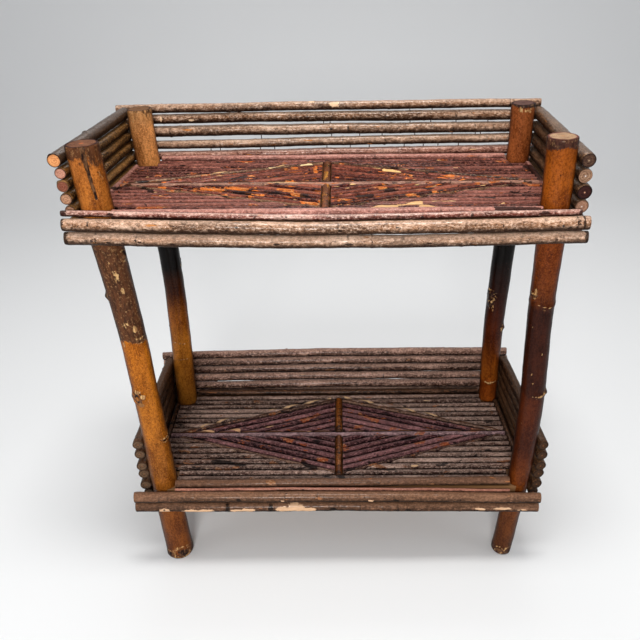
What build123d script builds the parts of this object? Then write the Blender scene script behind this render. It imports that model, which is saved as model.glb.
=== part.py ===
from build123d import *
import os
from collections import namedtuple
from math import cos, hypot, radians, sin

# Rustic twig table: four crooked poles carry an open tray on top and a shelf near the floor.
# Both decks are boards faced with split twigs laid round a long diamond, and whole round twigs
# nailed outside the poles form the fronts and the low galleries. Sizes are in millimetres.
# X runs to the table's right, Y to its back and Z up, from the floor midway between the poles.

# --- The frame of four poles
half_width = 288  # from the middle to a pole's nominal axis, along X
half_depth = 110  # the same along Y
shelf_height = 168  # the shelf deck's face above the floor
tray_height = 625  # the tray deck's face above the floor, at its middle
shelf_tilt = 0.2  # degrees, down to the right
tray_tilt = 1.0

# A pole is straight from one station to the next: the foot, the shelf, a third and two thirds of
# the way up, the tray and the top. Bends are how far the axis stands outward of its nominal place.
Pole = namedtuple("Pole", "side_x side_y above_tray bends diameters")
poles = {
    "front_left": Pole(-1, -1, 92, (-15, -12, -11, -7.5, 1.5, 5), (46, 43, 38.5, 38.5, 42, 42)),
    "front_right": Pole(1, -1, 85, (-2, 10.5, 11, 4.5, 2, -1.5), (33, 34, 35.5, 34.5, 37, 38)),
    "back_left": Pole(-1, 1, 85, (-2, -5, -13, -15.5, -7, -6), (39.5, 39, 36.5, 34.5, 37, 38)),
    "back_right": Pole(1, 1, 77, (5, 3.5, 0, 3, 7, 6), (33, 33, 34.5, 35.5, 34.5, 36.5)),
}

# --- Clearances
seat_gap = 0.1  # between a flat side and the board that it is nailed to
twig_gap = 0.3  # between twigs, and between a twig and a pole
notch_gap = 0.3  # round a pole, in the board
board_edge_gap = 1  # between a board's edge and the rails outside it

# --- The decks
board_thickness = 19
split_twig_height = 7  # a facing twig is sawn along its middle and lies on its flat side
rows_each_side = 8  # rows of facing twigs before and behind the middle twig
diamond_rows = 7  # how many of them the diamond reaches over
diamond_point_gap = 4  # from the diamond's points to the twigs along the deck's sides
edge_strip_width = 6  # the narrow split strip along the diamond's edges
split_twig_flats = 4  # flats across a facing twig's rounded back
row_unevenness = 1.4  # how much narrower the thinnest facing twig is than the thickest
border_diameters = {"front": 13.5, "back": 10.6, "left": 10.6, "right": 10.6}  # round the deck's edge

# --- Whole twigs nailed outside the poles
back_reach = 38  # how far the back rails run past the nominal pole axis
corner_gap = 1.5  # from a side rail's sawn end to the rails across the back or the front
end_scatter = 2  # the sawn ends are uneven by this much
long_rail_taper = 1.2  # how much thinner a long rail is at its tip than at its butt
front_middle_swell = 0.3  # a front rail is this much thicker at its middle

# Galleries from the lowest rail up: each rail's mean diameter, the daylight under its left or front
# end, and how much wider that daylight is at its other end. The first daylight is counted from the
# deck's face.
Rail = namedtuple("Rail", "diameter daylight widening", defaults=(0,))
tray_back_rails = (Rail(14.2, 9.4, 7.3), Rail(17, 6.2, -5.1), Rail(15.7, 3.3, -1.4), Rail(13.7, 0.5, 2.2))
tray_left_rails = (Rail(16, 14), Rail(15.4, 0.3), Rail(15.3, 0.3), Rail(17.8, 0.5))
tray_right_rails = (Rail(18, -2.7), Rail(19.5, 0.6), Rail(18, 0.3), Rail(18.7, 1.8))
shelf_back_rails = (Rail(16, -2.5, 1.5), Rail(16, 3), Rail(16, 2), Rail(16, 1.5), Rail(15.5, 1.3))
shelf_left_rails = (Rail(19, -21), Rail(19, 2.5), Rail(18, 1), Rail(18, 5), Rail(18, 2))
shelf_right_rails = (Rail(18, -16), Rail(18.5, 1.2), Rail(18, 1.2), Rail(18, 1.5), Rail(17, 2))
# Apron rails go on below the galleries, listed from the highest down, and hide the boards' edges.
tray_back_apron = (Rail(14.5, 3.2), Rail(15, 1), Rail(14, 1))
tray_left_apron = (Rail(15, 1), Rail(15.5, 1), Rail(15.5, 1))
tray_right_apron = (Rail(16.5, 1), Rail(16.5, 1))
shelf_back_apron = (Rail(16.5, 1), Rail(17, 1))
shelf_left_apron = (Rail(16.5, 1),)
shelf_right_apron = (Rail(16.5, 1),)

# The two front rails and the trim: heights of the axis over the deck's face at the left and the
# right end, the drop of the middle below a straight line, the diameters at the ends, and how far
# the ends run past the nominal pole axes. The shelf's trim stops short, between the poles.
FrontRail = namedtuple(
    "FrontRail", "left_height right_height sag left_diameter right_diameter left_reach right_reach"
)
tray_front_top = FrontRail(-6.7, -9.6, 5.9, 16.2, 17.8, 40.5, 39)
tray_front_bottom = FrontRail(-24.6, -28.8, 5.9, 17.4, 16.2, 40.5, 40)
tray_front_trim = FrontRail(6.5, 3, 6.5, 8, 8, 40.5, 28.5)
shelf_front_top = FrontRail(-12.3, -22.8, -2.4, 18, 17, 32, 42)
shelf_front_bottom = FrontRail(-33.5, -43.2, -2, 17, 16.5, 33, 41)
shelf_front_trim = FrontRail(-3.2, -12.2, -2.5, 5, 5, -34, -7)

# One tier is a deck and what is nailed round it. Overhangs are how far the side rails run
# forward of the front poles' axes where the trim isn't in their way, and the bow is how far the
# back rails arch upward at their middle. The diamond's middle stands to the right of the deck's
# by its shift.
Tier = namedtuple("Tier", "name height tilt overhangs bow diamond_shift trim")
tray = Tier("tray", tray_height, tray_tilt, {"left": 17, "right": 17}, 1, -2, tray_front_trim)
shelf = Tier("shelf", shelf_height, shelf_tilt, {"left": 5, "right": 12}, 3, 4, shelf_front_trim)

os.makedirs("parts", exist_ok=True)


def save(piece, name):
    """Label one finished piece and write it under its own name."""
    piece.label = name
    export_step(piece, f"parts/{name}.step")


def between(low, high, share):
    """The value at a share of the way from low to high."""
    return low + (high - low) * share


def scatter(count):
    """A small uneven offset for the sawn end of the twig with this number."""
    return end_scatter * sin(2.4 * count)


# --- Poles


def pole_stations(pole):
    """Heights, axis points and diameters of a pole from its foot to its top."""
    rise = tray_height - shelf_height
    heights = (
        0,
        shelf_height,
        shelf_height + rise / 3,
        shelf_height + rise * 2 / 3,
        tray_height,
        tray_height + pole.above_tray,
    )
    stations = []
    for height, bend, diameter in zip(heights, pole.bends, pole.diameters):
        stations.append((pole.side_x * (half_width + bend), pole.side_y * half_depth, height, diameter))
    return stations


def pole_form(pole):
    """A pole, grown in straight tapered lengths."""
    with BuildPart() as form:
        for x, y, height, diameter in pole_stations(pole):
            with BuildSketch(Plane((x, y, height))):
                Circle(diameter / 2)
        loft(ruled=True)
    return form.part


# --- A tier's own frame


def deck_plane(tier):
    """The plane of a deck's face: X to the right along its tilt, Y to the back."""
    lean = radians(tier.tilt)
    across, up = (cos(lean), 0, -sin(lean)), (sin(lean), 0, cos(lean))
    return Plane(origin=(0, 0, tier.height), x_dir=across, z_dir=up)


def pole_at(tier, name, height):
    """A pole's axis and radius where it crosses a height over the deck, in the deck's frame."""
    plane = deck_plane(tier)
    stations = []
    for x, y, station_height, diameter in pole_stations(poles[name]):
        local = plane.to_local_coords(Vector(x, y, station_height))
        stations.append((local.X, local.Y, local.Z, diameter / 2))
    for low, high in zip(stations, stations[1:]):
        if height <= high[2] or high is stations[-1]:
            share = (height - low[2]) / (high[2] - low[2])
            return (between(low[0], high[0], share), between(low[1], high[1], share),
                    between(low[3], high[3], share))


def line_through(first, second, along):
    """The value at along of the straight line through two (position, value) points."""
    return between(first[1], second[1], (along - first[0]) / (second[0] - first[0]))


# The four sides of a tier: the poles at its two ends, whether it runs along X, and which way is out.
Side = namedtuple("Side", "start_pole end_pole runs_along_x outward")
sides = {
    "front": Side("front_left", "front_right", True, -1),
    "back": Side("back_left", "back_right", True, 1),
    "left": Side("front_left", "back_left", False, -1),
    "right": Side("front_right", "back_right", False, 1),
}


def outer_face(tier, side_name, along, height, height_at_end=None, stand_off=(0, 0)):
    """Where the line laid against the outer faces of a side's two poles lies at along.

    stand_off keeps the line that far outside the first and the second pole.
    """
    side = sides[side_name]
    if height_at_end is None:
        height_at_end = height
    points = []
    for pole, at_height, extra in (
        (side.start_pole, height, stand_off[0]),
        (side.end_pole, height_at_end, stand_off[1]),
    ):
        x, y, radius = pole_at(tier, pole, at_height)
        position, across = (x, y) if side.runs_along_x else (y, x)
        points.append((position, across + side.outward * (radius + extra)))
    return line_through(points[0], points[1], along)


def side_line(tier, side_name, ends, heights, diameters):
    """The two ends of a twig's axis when it lies against a side's poles."""
    side = sides[side_name]
    stand_off = []
    at_pole_heights = []
    for pole in (side.start_pole, side.end_pole):
        x, y, _ = pole_at(tier, pole, heights[0])
        share = ((x if side.runs_along_x else y) - ends[0]) / (ends[1] - ends[0])
        stand_off.append(twig_gap + between(diameters[0], diameters[1], share) / 2)
        at_pole_heights.append(between(heights[0], heights[1], share))
    points = []
    for end, height in zip(ends, heights):
        across = outer_face(tier, side_name, end, *at_pole_heights, stand_off=stand_off)
        points.append((end, across, height) if side.runs_along_x else (across, end, height))
    return points


# --- Twigs


def straight_twig(tier, start, end, diameter):
    """A round twig between two points of a tier's frame."""
    plane = deck_plane(tier)
    start, end = plane.from_local_coords(Vector(*start)), plane.from_local_coords(Vector(*end))
    with BuildPart() as twig:
        with BuildSketch(Plane(origin=start, z_dir=end - start)):
            Circle(diameter / 2)
        extrude(amount=(end - start).length)
    return twig.part


def bent_twig(tier, start, end, diameters, middle_drop, middle_swell=0):
    """A round tapered twig between two points of a tier's frame, sagging by middle_drop."""
    plane = deck_plane(tier)
    start, end = plane.from_local_coords(Vector(*start)), plane.from_local_coords(Vector(*end))
    middle = (start + end) / 2 - plane.z_dir * middle_drop
    along = (end - start).normalized()
    sections = (
        (start, diameters[0]),
        (middle, sum(diameters) / 2 + middle_swell),
        (end, diameters[1]),
    )
    with BuildPart() as twig:
        for centre, diameter in sections:
            with BuildSketch(Plane(origin=centre, z_dir=along, x_dir=along.cross(plane.z_dir))):
                Circle(diameter / 2)
        loft(ruled=True)
    return twig.part


def split_twig(plane, start, end, width):
    """A twig sawn along its middle, lying on its flat side between two points of a plane."""
    start = plane.from_local_coords(Vector(*start, 0))
    end = plane.from_local_coords(Vector(*end, 0))
    along = end - start
    profile = []
    for corner in range(split_twig_flats + 1):
        turn = radians(180 * corner / split_twig_flats)
        profile.append((width / 2 * cos(turn), split_twig_height * sin(turn)))
    with BuildPart() as twig:
        with BuildSketch(Plane(origin=start, z_dir=along, x_dir=plane.z_dir.cross(along))):
            with BuildLine():
                Polyline(*profile, close=True)
            make_face()
        extrude(amount=along.length)
    return twig.part


def group(pieces):
    """Several separate solids that share one node."""
    with BuildPart() as together:
        add(pieces)
    return together.part


# --- Rails round a tier


def end_diameters(side_name, rail, number):
    """A rail's diameters at its two ends: long rails taper, butt and tip by turns."""
    taper = long_rail_taper if sides[side_name].runs_along_x else 0
    lean = taper / 2 if number % 2 else -taper / 2
    return rail.diameter + lean, rail.diameter - lean


def stack(side_name, rails, under, way):
    """Axis heights at both ends of stacked rails, upward (way 1) or downward (way -1) from under."""
    reached = list(under)
    heights = []
    for number, rail in enumerate(rails):
        pair = []
        for index, diameter in enumerate(end_diameters(side_name, rail, number)):
            daylight = rail.daylight + index * rail.widening
            pair.append(reached[index] + way * (daylight + diameter / 2))
            reached[index] += way * (daylight + diameter)
        heights.append(pair)
    return heights


def rail_ends(tier, side_name, number, underside):
    """Where the sawn ends of a rail lie, along X or Y."""
    ragged = scatter(number), scatter(number + 1)
    if side_name == "back":
        return -half_width - back_reach + ragged[0], half_width + back_reach + ragged[1]
    corner_x = outer_face(tier, side_name, half_depth, 0)
    ahead = -half_depth - tier.overhangs[side_name]
    if underside < max(tier.trim.left_height, tier.trim.right_height) + tier.trim.left_diameter:
        ahead = max(ahead, outer_face(tier, "front", corner_x, 0) + end_scatter + corner_gap)
    behind = outer_face(tier, "back", corner_x, 0) - end_scatter - corner_gap
    return ahead + ragged[0], behind + ragged[1]


def laid_rails(tier, side_name, rails, heights):
    """The rails of one stack, each against the poles of its side."""
    made = []
    for number, (rail, height) in enumerate(zip(rails, heights)):
        diameters = end_diameters(side_name, rail, number)
        underside = height[0] - rail.diameter / 2
        ends = rail_ends(tier, side_name, number + len(rails), underside)
        start, end = side_line(tier, side_name, ends, height, diameters)
        if sides[side_name].runs_along_x:
            made.append(bent_twig(tier, start, end, diameters, -tier.bow))
        else:
            made.append(straight_twig(tier, start, end, rail.diameter))
    return made


def gallery(tier, side_name, rails, apron):
    """One side's low fence of rails, and the apron below it over the board's edge."""
    heights = stack(side_name, rails, (0, 0), 1)
    for number, rail in enumerate(laid_rails(tier, side_name, rails, heights), 1):
        save(rail, f"{tier.name}_{side_name}_rail_{number}")
    underside = (rails[0].daylight, rails[0].daylight + rails[0].widening)
    hung = stack(side_name, apron, underside, -1)
    save(group(laid_rails(tier, side_name, apron, hung)), f"{tier.name}_{side_name}_apron")


def front_rail(tier, rail, name):
    """A long rail across the front poles."""
    heights = (rail.left_height, rail.right_height)
    diameters = (rail.left_diameter, rail.right_diameter)
    ends = (-half_width - rail.left_reach, half_width + rail.right_reach)
    start, end = side_line(tier, "front", ends, heights, diameters)
    save(bent_twig(tier, start, end, diameters, rail.sag, front_middle_swell), f"{tier.name}_{name}")


# --- Decks


def board(tier):
    """The board that fills the space inside the rails, notched round the four poles."""
    top = -split_twig_height - seat_gap
    middle = top - board_thickness / 2
    inset = (-board_edge_gap, -board_edge_gap)
    corners = []
    for x_side, y_side in (("left", "front"), ("right", "front"), ("right", "back"), ("left", "back")):
        y = outer_face(tier, y_side, 0, middle, stand_off=inset)
        x = outer_face(tier, x_side, y, middle, stand_off=inset)
        corners.append((x, outer_face(tier, y_side, x, middle, stand_off=inset)))
    with BuildPart() as deck:
        with BuildSketch(deck_plane(tier).offset(top)):
            with BuildLine():
                Polyline(*corners, close=True)
            make_face()
        extrude(amount=-board_thickness)
        for name in poles:
            low = pole_at(tier, name, top - board_thickness)
            high = pole_at(tier, name, top)
            centre = deck_plane(tier).from_local_coords(Vector((low[0] + high[0]) / 2, low[1], middle))
            tip = deck_plane(tier).from_local_coords(Vector(high[0], high[1], top))
            with BuildSketch(Plane(origin=centre, z_dir=tip - centre)):
                Circle(max(low[2], high[2]) + notch_gap)
            extrude(amount=board_thickness, both=True, mode=Mode.SUBTRACT)
    with BuildPart() as largest:
        add(deck.part.solids().sort_by(SortBy.VOLUME)[-1])
    save(largest.part, f"{tier.name}_board")


def deck_layout(tier):
    """Row pitch, the diamond's middle along X, and its half length and half width."""
    face = -split_twig_height
    edge = min(
        abs(outer_face(tier, side_name, 0, face)) - border_diameters[side_name]
        for side_name in ("front", "back")
    )
    row_pitch = (edge - 2 * twig_gap) / (rows_each_side + 0.5)
    left, right = (row_end(tier, side_name, 0, row_pitch) for side_name in ("left", "right"))
    half_width_y = row_pitch * (diamond_rows + 0.5)
    half_length = (right - left) / 2 - abs(tier.diamond_shift) - diamond_point_gap
    beside_middle = 1 - (row_pitch + twig_gap) / 2 / half_width_y
    return row_pitch, (left + right) / 2 + tier.diamond_shift, half_length / beside_middle, half_width_y


def diamond_plane(tier):
    """The top of the board, with its origin under the diamond's middle."""
    middle = deck_layout(tier)[1]
    plane = deck_plane(tier).offset(-split_twig_height)
    origin = plane.from_local_coords(Vector(middle, 0, 0))
    return Plane(origin=origin, x_dir=plane.x_dir, z_dir=plane.z_dir)


def borders(tier):
    """The twigs round the deck's edge, each between two poles: whole along X, split along Y."""
    plane = deck_plane(tier).offset(-split_twig_height)
    twigs = []
    for side_name, side in sides.items():
        diameter = border_diameters[side_name]
        height = -split_twig_height + seat_gap + diameter / 2
        inside = (-diameter / 2 - twig_gap,) * 2
        reaches = []
        for name, way in ((side.start_pole, 1), (side.end_pole, -1)):
            x, y, radius = pole_at(tier, name, height)
            reaches.append((x if side.runs_along_x else y) + way * (radius + twig_gap))
        points = [
            (reach, outer_face(tier, side_name, reach, height, stand_off=inside)) for reach in reaches
        ]
        if side.runs_along_x:
            start, end = ((x, y, height) for x, y in points)
            twigs.append(straight_twig(tier, start, end, diameter))
        else:
            start, end = ((x, y) for y, x in points)
            twigs.append(split_twig(plane, start, end, diameter))
    save(group(twigs), f"{tier.name}_border_twigs")


def row_end(tier, side_name, y, width):
    """Where a row of facing twigs stops: at the border twig, or at the pole that is in its way."""
    face = -split_twig_height
    side = sides[side_name]
    for name in (side.start_pole, side.end_pole):
        pole_x, pole_y, radius = pole_at(tier, name, face)
        if abs(y - pole_y) < radius + width / 2 + twig_gap:
            return pole_x - side.outward * (radius + twig_gap)
    inside = (-border_diameters[side_name] - 2 * twig_gap,) * 2
    reaches = (y - width / 2, y + width / 2)
    ends = [outer_face(tier, side_name, reach, face, stand_off=inside) for reach in reaches]
    return min(ends, key=abs)


def diamond_points(half_length, half_width_y, grown_by):
    """The diamond's four points round its middle, with its edges moved outward by grown_by."""
    share = 1 + grown_by * hypot(half_length, half_width_y) / (half_length * half_width_y)
    long_tip, wide_tip = half_length * share, half_width_y * share
    return (long_tip, 0), (0, wide_tip), (-long_tip, 0), (0, -wide_tip)


def uneven(width, count):
    """A facing twig's own width, at most the width that its row has."""
    return width - row_unevenness * (1 + sin(2.4 * count)) / 2


def field(tier):
    """The rows of facing twigs before and behind the middle one, cut off along the diamond."""
    row_pitch, _, diamond_length, diamond_width = deck_layout(tier)
    width = row_pitch - twig_gap
    plane = deck_plane(tier).offset(-split_twig_height)
    twigs = []
    for number in range(1, rows_each_side + 1):
        for way in (-1, 1):
            y = way * number * row_pitch
            start = (row_end(tier, "left", y, width), y)
            end = (row_end(tier, "right", y, width), y)
            twigs.append(split_twig(plane, start, end, uneven(width, way * number)))
    with BuildPart() as rows:
        add(twigs)
        with BuildSketch(diamond_plane(tier)):
            with BuildLine():
                Polyline(*diamond_points(diamond_length, diamond_width, twig_gap), close=True)
            make_face()
            Rectangle(width + 2 * twig_gap, 2 * (diamond_width + twig_gap))
        extrude(amount=2 * split_twig_height, mode=Mode.SUBTRACT)
    save(rows.part, f"{tier.name}_field_twigs")


def diamond_quarter(tier, way_x, way_y):
    """A quarter of the diamond: twigs laid along its edge, cut off at the middle twigs."""
    row_pitch, _, diamond_length, diamond_width = deck_layout(tier)
    width = row_pitch - twig_gap
    plane = diamond_plane(tier)
    inner = width / 2 + twig_gap
    depth = diamond_length * diamond_width / hypot(diamond_length, diamond_width)
    depth_left = depth * (1 - inner / diamond_length - inner / diamond_width)
    strip_pitch = edge_strip_width + twig_gap
    courses = int((depth_left - strip_pitch) / row_pitch + 0.5)
    laid = []
    for course in range(courses + 1):
        twig_width = uneven(width, 2 * course + way_x + way_y / 2) if course else edge_strip_width
        inward = strip_pitch + (course - 0.5) * row_pitch if course else strip_pitch / 2
        share = 1 - inward / depth
        on_long = Vector(way_x * diamond_length * share, 0)
        on_cross = Vector(0, way_y * diamond_width * share)
        run_on = (on_long - on_cross).normalized() * row_pitch
        start, end = on_long + run_on, on_cross - run_on
        laid.append(split_twig(plane, (start.X, start.Y), (end.X, end.Y), twig_width))
    corner = (way_x * inner, way_y * inner)
    far_x = way_x * diamond_length * (1 - inner / diamond_width)
    far_y = way_y * diamond_width * (1 - inner / diamond_length)
    with BuildPart() as quarter:
        add(laid)
        with BuildSketch(plane):
            with BuildLine():
                Polyline(corner, (far_x, corner[1]), (corner[0], far_y), close=True)
            make_face()
        extrude(amount=2 * split_twig_height, mode=Mode.INTERSECT)
    return quarter.part


def diamond(tier):
    """The diamond's left and right halves, a node each."""
    for side_name in ("left", "right"):
        quarters = [diamond_quarter(tier, sides[side_name].outward, way_y) for way_y in (-1, 1)]
        save(group(quarters), f"{tier.name}_diamond_{side_name}_twigs")


def middle_twigs(tier):
    """The long twig down the middle of the deck, and the two short ones across the diamond."""
    row_pitch, _, _, diamond_width = deck_layout(tier)
    width = row_pitch - twig_gap
    plane = deck_plane(tier).offset(-split_twig_height)
    ends = ((row_end(tier, side_name, 0, width), 0) for side_name in ("left", "right"))
    save(split_twig(plane, *ends, width), f"{tier.name}_long_twig")
    halves = []
    for way in (-1, 1):
        start, end = (0, way * (width / 2 + twig_gap)), (0, way * diamond_width)
        halves.append(split_twig(diamond_plane(tier), start, end, width))
    save(group(halves), f"{tier.name}_cross_twigs")


# --- The table

for pole_name, one_pole in poles.items():
    save(pole_form(one_pole), f"pole_{pole_name}")

for one_tier in (tray, shelf):
    board(one_tier)
    borders(one_tier)
    field(one_tier)
    middle_twigs(one_tier)
    diamond(one_tier)

gallery(tray, "back", tray_back_rails, tray_back_apron)
gallery(tray, "left", tray_left_rails, tray_left_apron)
gallery(tray, "right", tray_right_rails, tray_right_apron)
gallery(shelf, "back", shelf_back_rails, shelf_back_apron)
gallery(shelf, "left", shelf_left_rails, shelf_left_apron)
gallery(shelf, "right", shelf_right_rails, shelf_right_apron)

front_rail(tray, tray_front_top, "front_rail_top")
front_rail(tray, tray_front_bottom, "front_rail_bottom")
front_rail(tray, tray_front_trim, "front_trim")
front_rail(shelf, shelf_front_top, "front_rail_top")
front_rail(shelf, shelf_front_bottom, "front_rail_bottom")
front_rail(shelf, shelf_front_trim, "front_trim")
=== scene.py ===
from math import cos, pi, radians, sin

import bmesh
import bpy
import numpy as np
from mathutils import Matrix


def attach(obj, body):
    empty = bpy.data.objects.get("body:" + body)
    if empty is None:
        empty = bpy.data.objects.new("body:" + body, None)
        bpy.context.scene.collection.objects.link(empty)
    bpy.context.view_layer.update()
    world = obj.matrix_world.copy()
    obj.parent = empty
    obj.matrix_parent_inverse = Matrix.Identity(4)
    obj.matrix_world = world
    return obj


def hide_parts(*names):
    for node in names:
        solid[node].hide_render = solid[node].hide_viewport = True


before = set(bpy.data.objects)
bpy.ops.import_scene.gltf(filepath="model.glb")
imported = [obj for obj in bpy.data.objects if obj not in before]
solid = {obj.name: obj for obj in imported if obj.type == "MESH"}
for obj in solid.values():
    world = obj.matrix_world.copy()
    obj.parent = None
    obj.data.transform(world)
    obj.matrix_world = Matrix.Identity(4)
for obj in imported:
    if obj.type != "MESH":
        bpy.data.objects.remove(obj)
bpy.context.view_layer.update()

# --- Camera, floor and lamps
# The camera stands in front of the table, a little to the right, and looks down on both decks.
# The floor is plain and pale and curves up into a pale wall behind. One lamp hangs high in front
# of the table, one stands lower, and weak ones light the sides and the back.
camera_place = (0.02367, -0.89633, 0.920)
camera_turn = (59.8117, 1.9493, 1.3904)  # degrees
camera_lens = 36.69
floor_reach = 5.0  # to the front and the sides
wall_distance = 2.7
wall_height = 4.5
cove_radius = 1.1
floor_colour = (0.86, 0.86, 0.85, 1)
floor_roughness = 0.7
room_colour = (0.90, 0.93, 1.0, 1)
room_strength = 0.30

scene = bpy.context.scene
scene.view_settings.view_transform = "Standard"


def put(data, name):
    """A new object in the scene."""
    made = bpy.data.objects.new(name, data)
    scene.collection.objects.link(made)
    return made


def new_material(name):
    """A new material and its Principled shader."""
    material = bpy.data.materials.new(name)
    material.use_nodes = True
    return material, material.node_tree.nodes["Principled BSDF"]


camera = put(bpy.data.cameras.new("camera"), "camera")
camera.location = camera_place
camera.rotation_euler = [radians(turn) for turn in camera_turn]
camera.data.lens = camera_lens
scene.camera = camera

room = bpy.data.worlds.new("room")
room.use_nodes = True
room_sockets = room.node_tree.nodes["Background"].inputs
room_sockets["Color"].default_value = room_colour
room_sockets["Strength"].default_value = room_strength
scene.world = room

floor_profile = [(-floor_reach, 0)]
for turn in range(0, 91, 6):
    aside, above = sin(radians(turn)) - 1, 1 - cos(radians(turn))
    floor_profile.append((wall_distance + cove_radius * aside, cove_radius * above))
floor_profile.append((wall_distance, wall_height))
floor_mesh = bpy.data.meshes.new("floor")
floor_corners = [(x, y, z) for y, z in floor_profile for x in (-floor_reach, floor_reach)]
floor_faces = [(at, at + 1, at + 3, at + 2) for at in range(0, len(floor_corners) - 2, 2)]
floor_mesh.from_pydata(floor_corners, [], floor_faces)
floor_mesh.shade_smooth()
floor = put(floor_mesh, "floor")
floor_paint, floor_shader = new_material("floor_paint")
floor_shader.inputs["Base Color"].default_value = floor_colour
floor_shader.inputs["Roughness"].default_value = floor_roughness
floor_mesh.materials.append(floor_paint)

for lamp_name, lamp_place, lamp_turn, lamp_size, lamp_watts in (
    ("lamp_high", (0.10, -0.28, 2.45), (8, 0, 3), (0.75, 0.42), 27),
    ("lamp_front", (-0.20, -2.2, 1.20), (71, 0, -5), (0.7, 0.4), 32),
    ("lamp_left", (-1.9, -0.7, 1.3), (62, 0, -68), (0.9, 1.2), 5),
    ("lamp_right", (1.9, -0.6, 1.2), (64, 0, 70), (0.9, 1.2), 4),
    ("lamp_behind", (0.0, 1.5, 1.9), (-48, 0, 0), (1.6, 0.8), 8),
):
    lamp = put(bpy.data.lights.new(lamp_name, "AREA"), lamp_name)
    lamp.data.shape = "RECTANGLE"
    lamp.data.size, lamp.data.size_y = lamp_size
    lamp.data.energy = lamp_watts
    lamp.location = lamp_place
    lamp.rotation_euler = [radians(turn) for turn in lamp_turn]

# --- Poles
# Four crooked saplings, mostly smooth and honey-coloured under old varnish. Patches of dark bark
# are left on, and branch stubs and ring scars stand out. The tops and feet are sawn across.


def paint(red, green, blue):
    """A colour given in 0 to 255 steps, as the linear values that sockets take."""
    linear = []
    for value in (red, green, blue):
        share = value / 255
        linear.append(share / 12.92 if share <= 0.04045 else ((share + 0.055) / 1.055) ** 2.4)
    return (*linear, 1)


class Value:
    """What a node puts out. Sums written with it become Math nodes, or Vector Math nodes."""

    def __init__(self, socket):
        self.socket = socket

    def __add__(self, other):
        return worked("ADD", self, other)

    def __radd__(self, other):
        return worked("ADD", other, self)

    def __sub__(self, other):
        return worked("SUBTRACT", self, other)

    def __rsub__(self, other):
        return worked("SUBTRACT", other, self)

    def __mul__(self, other):
        return worked("MULTIPLY", self, other)

    def __truediv__(self, other):
        return worked("DIVIDE", self, other)

    def __rtruediv__(self, other):
        return worked("DIVIDE", other, self)


class Placed:
    """A node in a tree. Its outputs are values, by name or number."""

    def __init__(self, node):
        self.node = node

    def __getitem__(self, key):
        return Value(self.node.outputs[key])


def fill(sockets, values):
    """Links each socket to its value, or sets it where the value is a plain one."""
    for key, value in values.items():
        if isinstance(value, Value):
            sockets[key].id_data.links.new(value.socket, sockets[key])
        else:
            sockets[key].default_value = value


def painted(sockets, keys, colours):
    """Sets sockets to colours, each given in 0 to 255 steps."""
    fill(sockets, {key: paint(*colour) for key, colour in zip(keys, colours)})


def place(kind, inputs=None, tree=None, **settings):
    """A new node with its inputs and settings, in the tree of its inputs if no tree is given."""
    inputs = inputs or {}
    if tree is None:
        tree = next(value.socket.id_data for value in inputs.values() if isinstance(value, Value))
    made = tree.nodes.new(kind)
    for name, value in settings.items():
        setattr(made, name, value)
    fill(made.inputs, inputs)
    return Placed(made)


def calc(operation, *values, clamp=False):
    """The result of a Math node."""
    inputs = dict(enumerate(values))
    return place("ShaderNodeMath", inputs, operation=operation, use_clamp=clamp)[0]


def vector_calc(operation, *values):
    """The result of a Vector Math node, a vector."""
    return place("ShaderNodeVectorMath", dict(enumerate(values)), operation=operation)["Vector"]


def worked(operation, *values):
    """The result of a Math node, or of a Vector Math node where one of the values is a vector."""
    for value in values:
        if isinstance(value, tuple) or isinstance(value, Value) and value.socket.type in ("VECTOR", "RGBA"):
            return vector_calc(operation, *values)
    return calc(operation, *values)


def scaled(vector, scale):
    """A vector made longer or shorter."""
    return place("ShaderNodeVectorMath", {0: vector, "Scale": scale}, operation="SCALE")["Vector"]


def dot(one, other):
    """How far one vector reaches along another."""
    return place("ShaderNodeVectorMath", {0: one, 1: other}, operation="DOT_PRODUCT")["Value"]


def ramp(value, low, high, to_low=0, to_high=1):
    """A value's rise from low to high, as a smooth step between two results."""
    inputs = {"Value": value, "From Min": low, "From Max": high, "To Min": to_low, "To Max": to_high}
    return place("ShaderNodeMapRange", inputs, interpolation_type="SMOOTHSTEP")["Result"]


def noise(vector, scale=1, detail=2, roughness=0.5, colour=False):
    """Soft noise from 0 to 1 at a vector, or three of them as a colour."""
    inputs = {"Vector": vector, "Scale": scale, "Detail": detail, "Roughness": roughness}
    return place("ShaderNodeTexNoise", inputs, noise_dimensions="3D")["Color" if colour else "Fac"]


def opened(name, kind, inputs, outputs):
    """A new group's tree, its input node and its output sockets.

    An input that is given as a number gets it as its default. The others are given as their kinds.
    """
    tree = bpy.data.node_groups.new(name, kind)
    for way, sockets in (("INPUT", inputs), ("OUTPUT", outputs)):
        for socket_name, given in sockets.items():
            plain = not isinstance(given, str)
            socket_kind = "NodeSocket" + (type(given).__name__.capitalize() if plain else given)
            made = tree.interface.new_socket(name=socket_name, in_out=way, socket_type=socket_kind)
            if plain:
                made.default_value = given
    return tree, Placed(tree.nodes.new("NodeGroupInput")), tree.nodes.new("NodeGroupOutput").inputs


def named(tree, name, kind="FLOAT"):
    """A named attribute of the geometry."""
    return place("GeometryNodeInputNamedAttribute", {"Name": name}, tree, data_type=kind)[0]


def resampled(tree, line, step):
    """A line with points at even steps, and at each of them its length so far and in all."""
    line = place("GeometryNodeResampleCurve", {"Curve": line, "Length": step}, mode="LENGTH")["Curve"]
    length = place("GeometryNodeSplineParameter", tree=tree)["Length"]
    return line, length, place("GeometryNodeSplineLength", tree=tree)["Length"]


def own_luck(tree, given, spacing):
    """A number from 0 to 1 for each shoot, the same at all its points."""
    seed = named(tree, "number") * spacing + given["Seed"]
    return place("ShaderNodeTexWhiteNoise", {"W": seed}, noise_dimensions="1D")["Value"]


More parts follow.
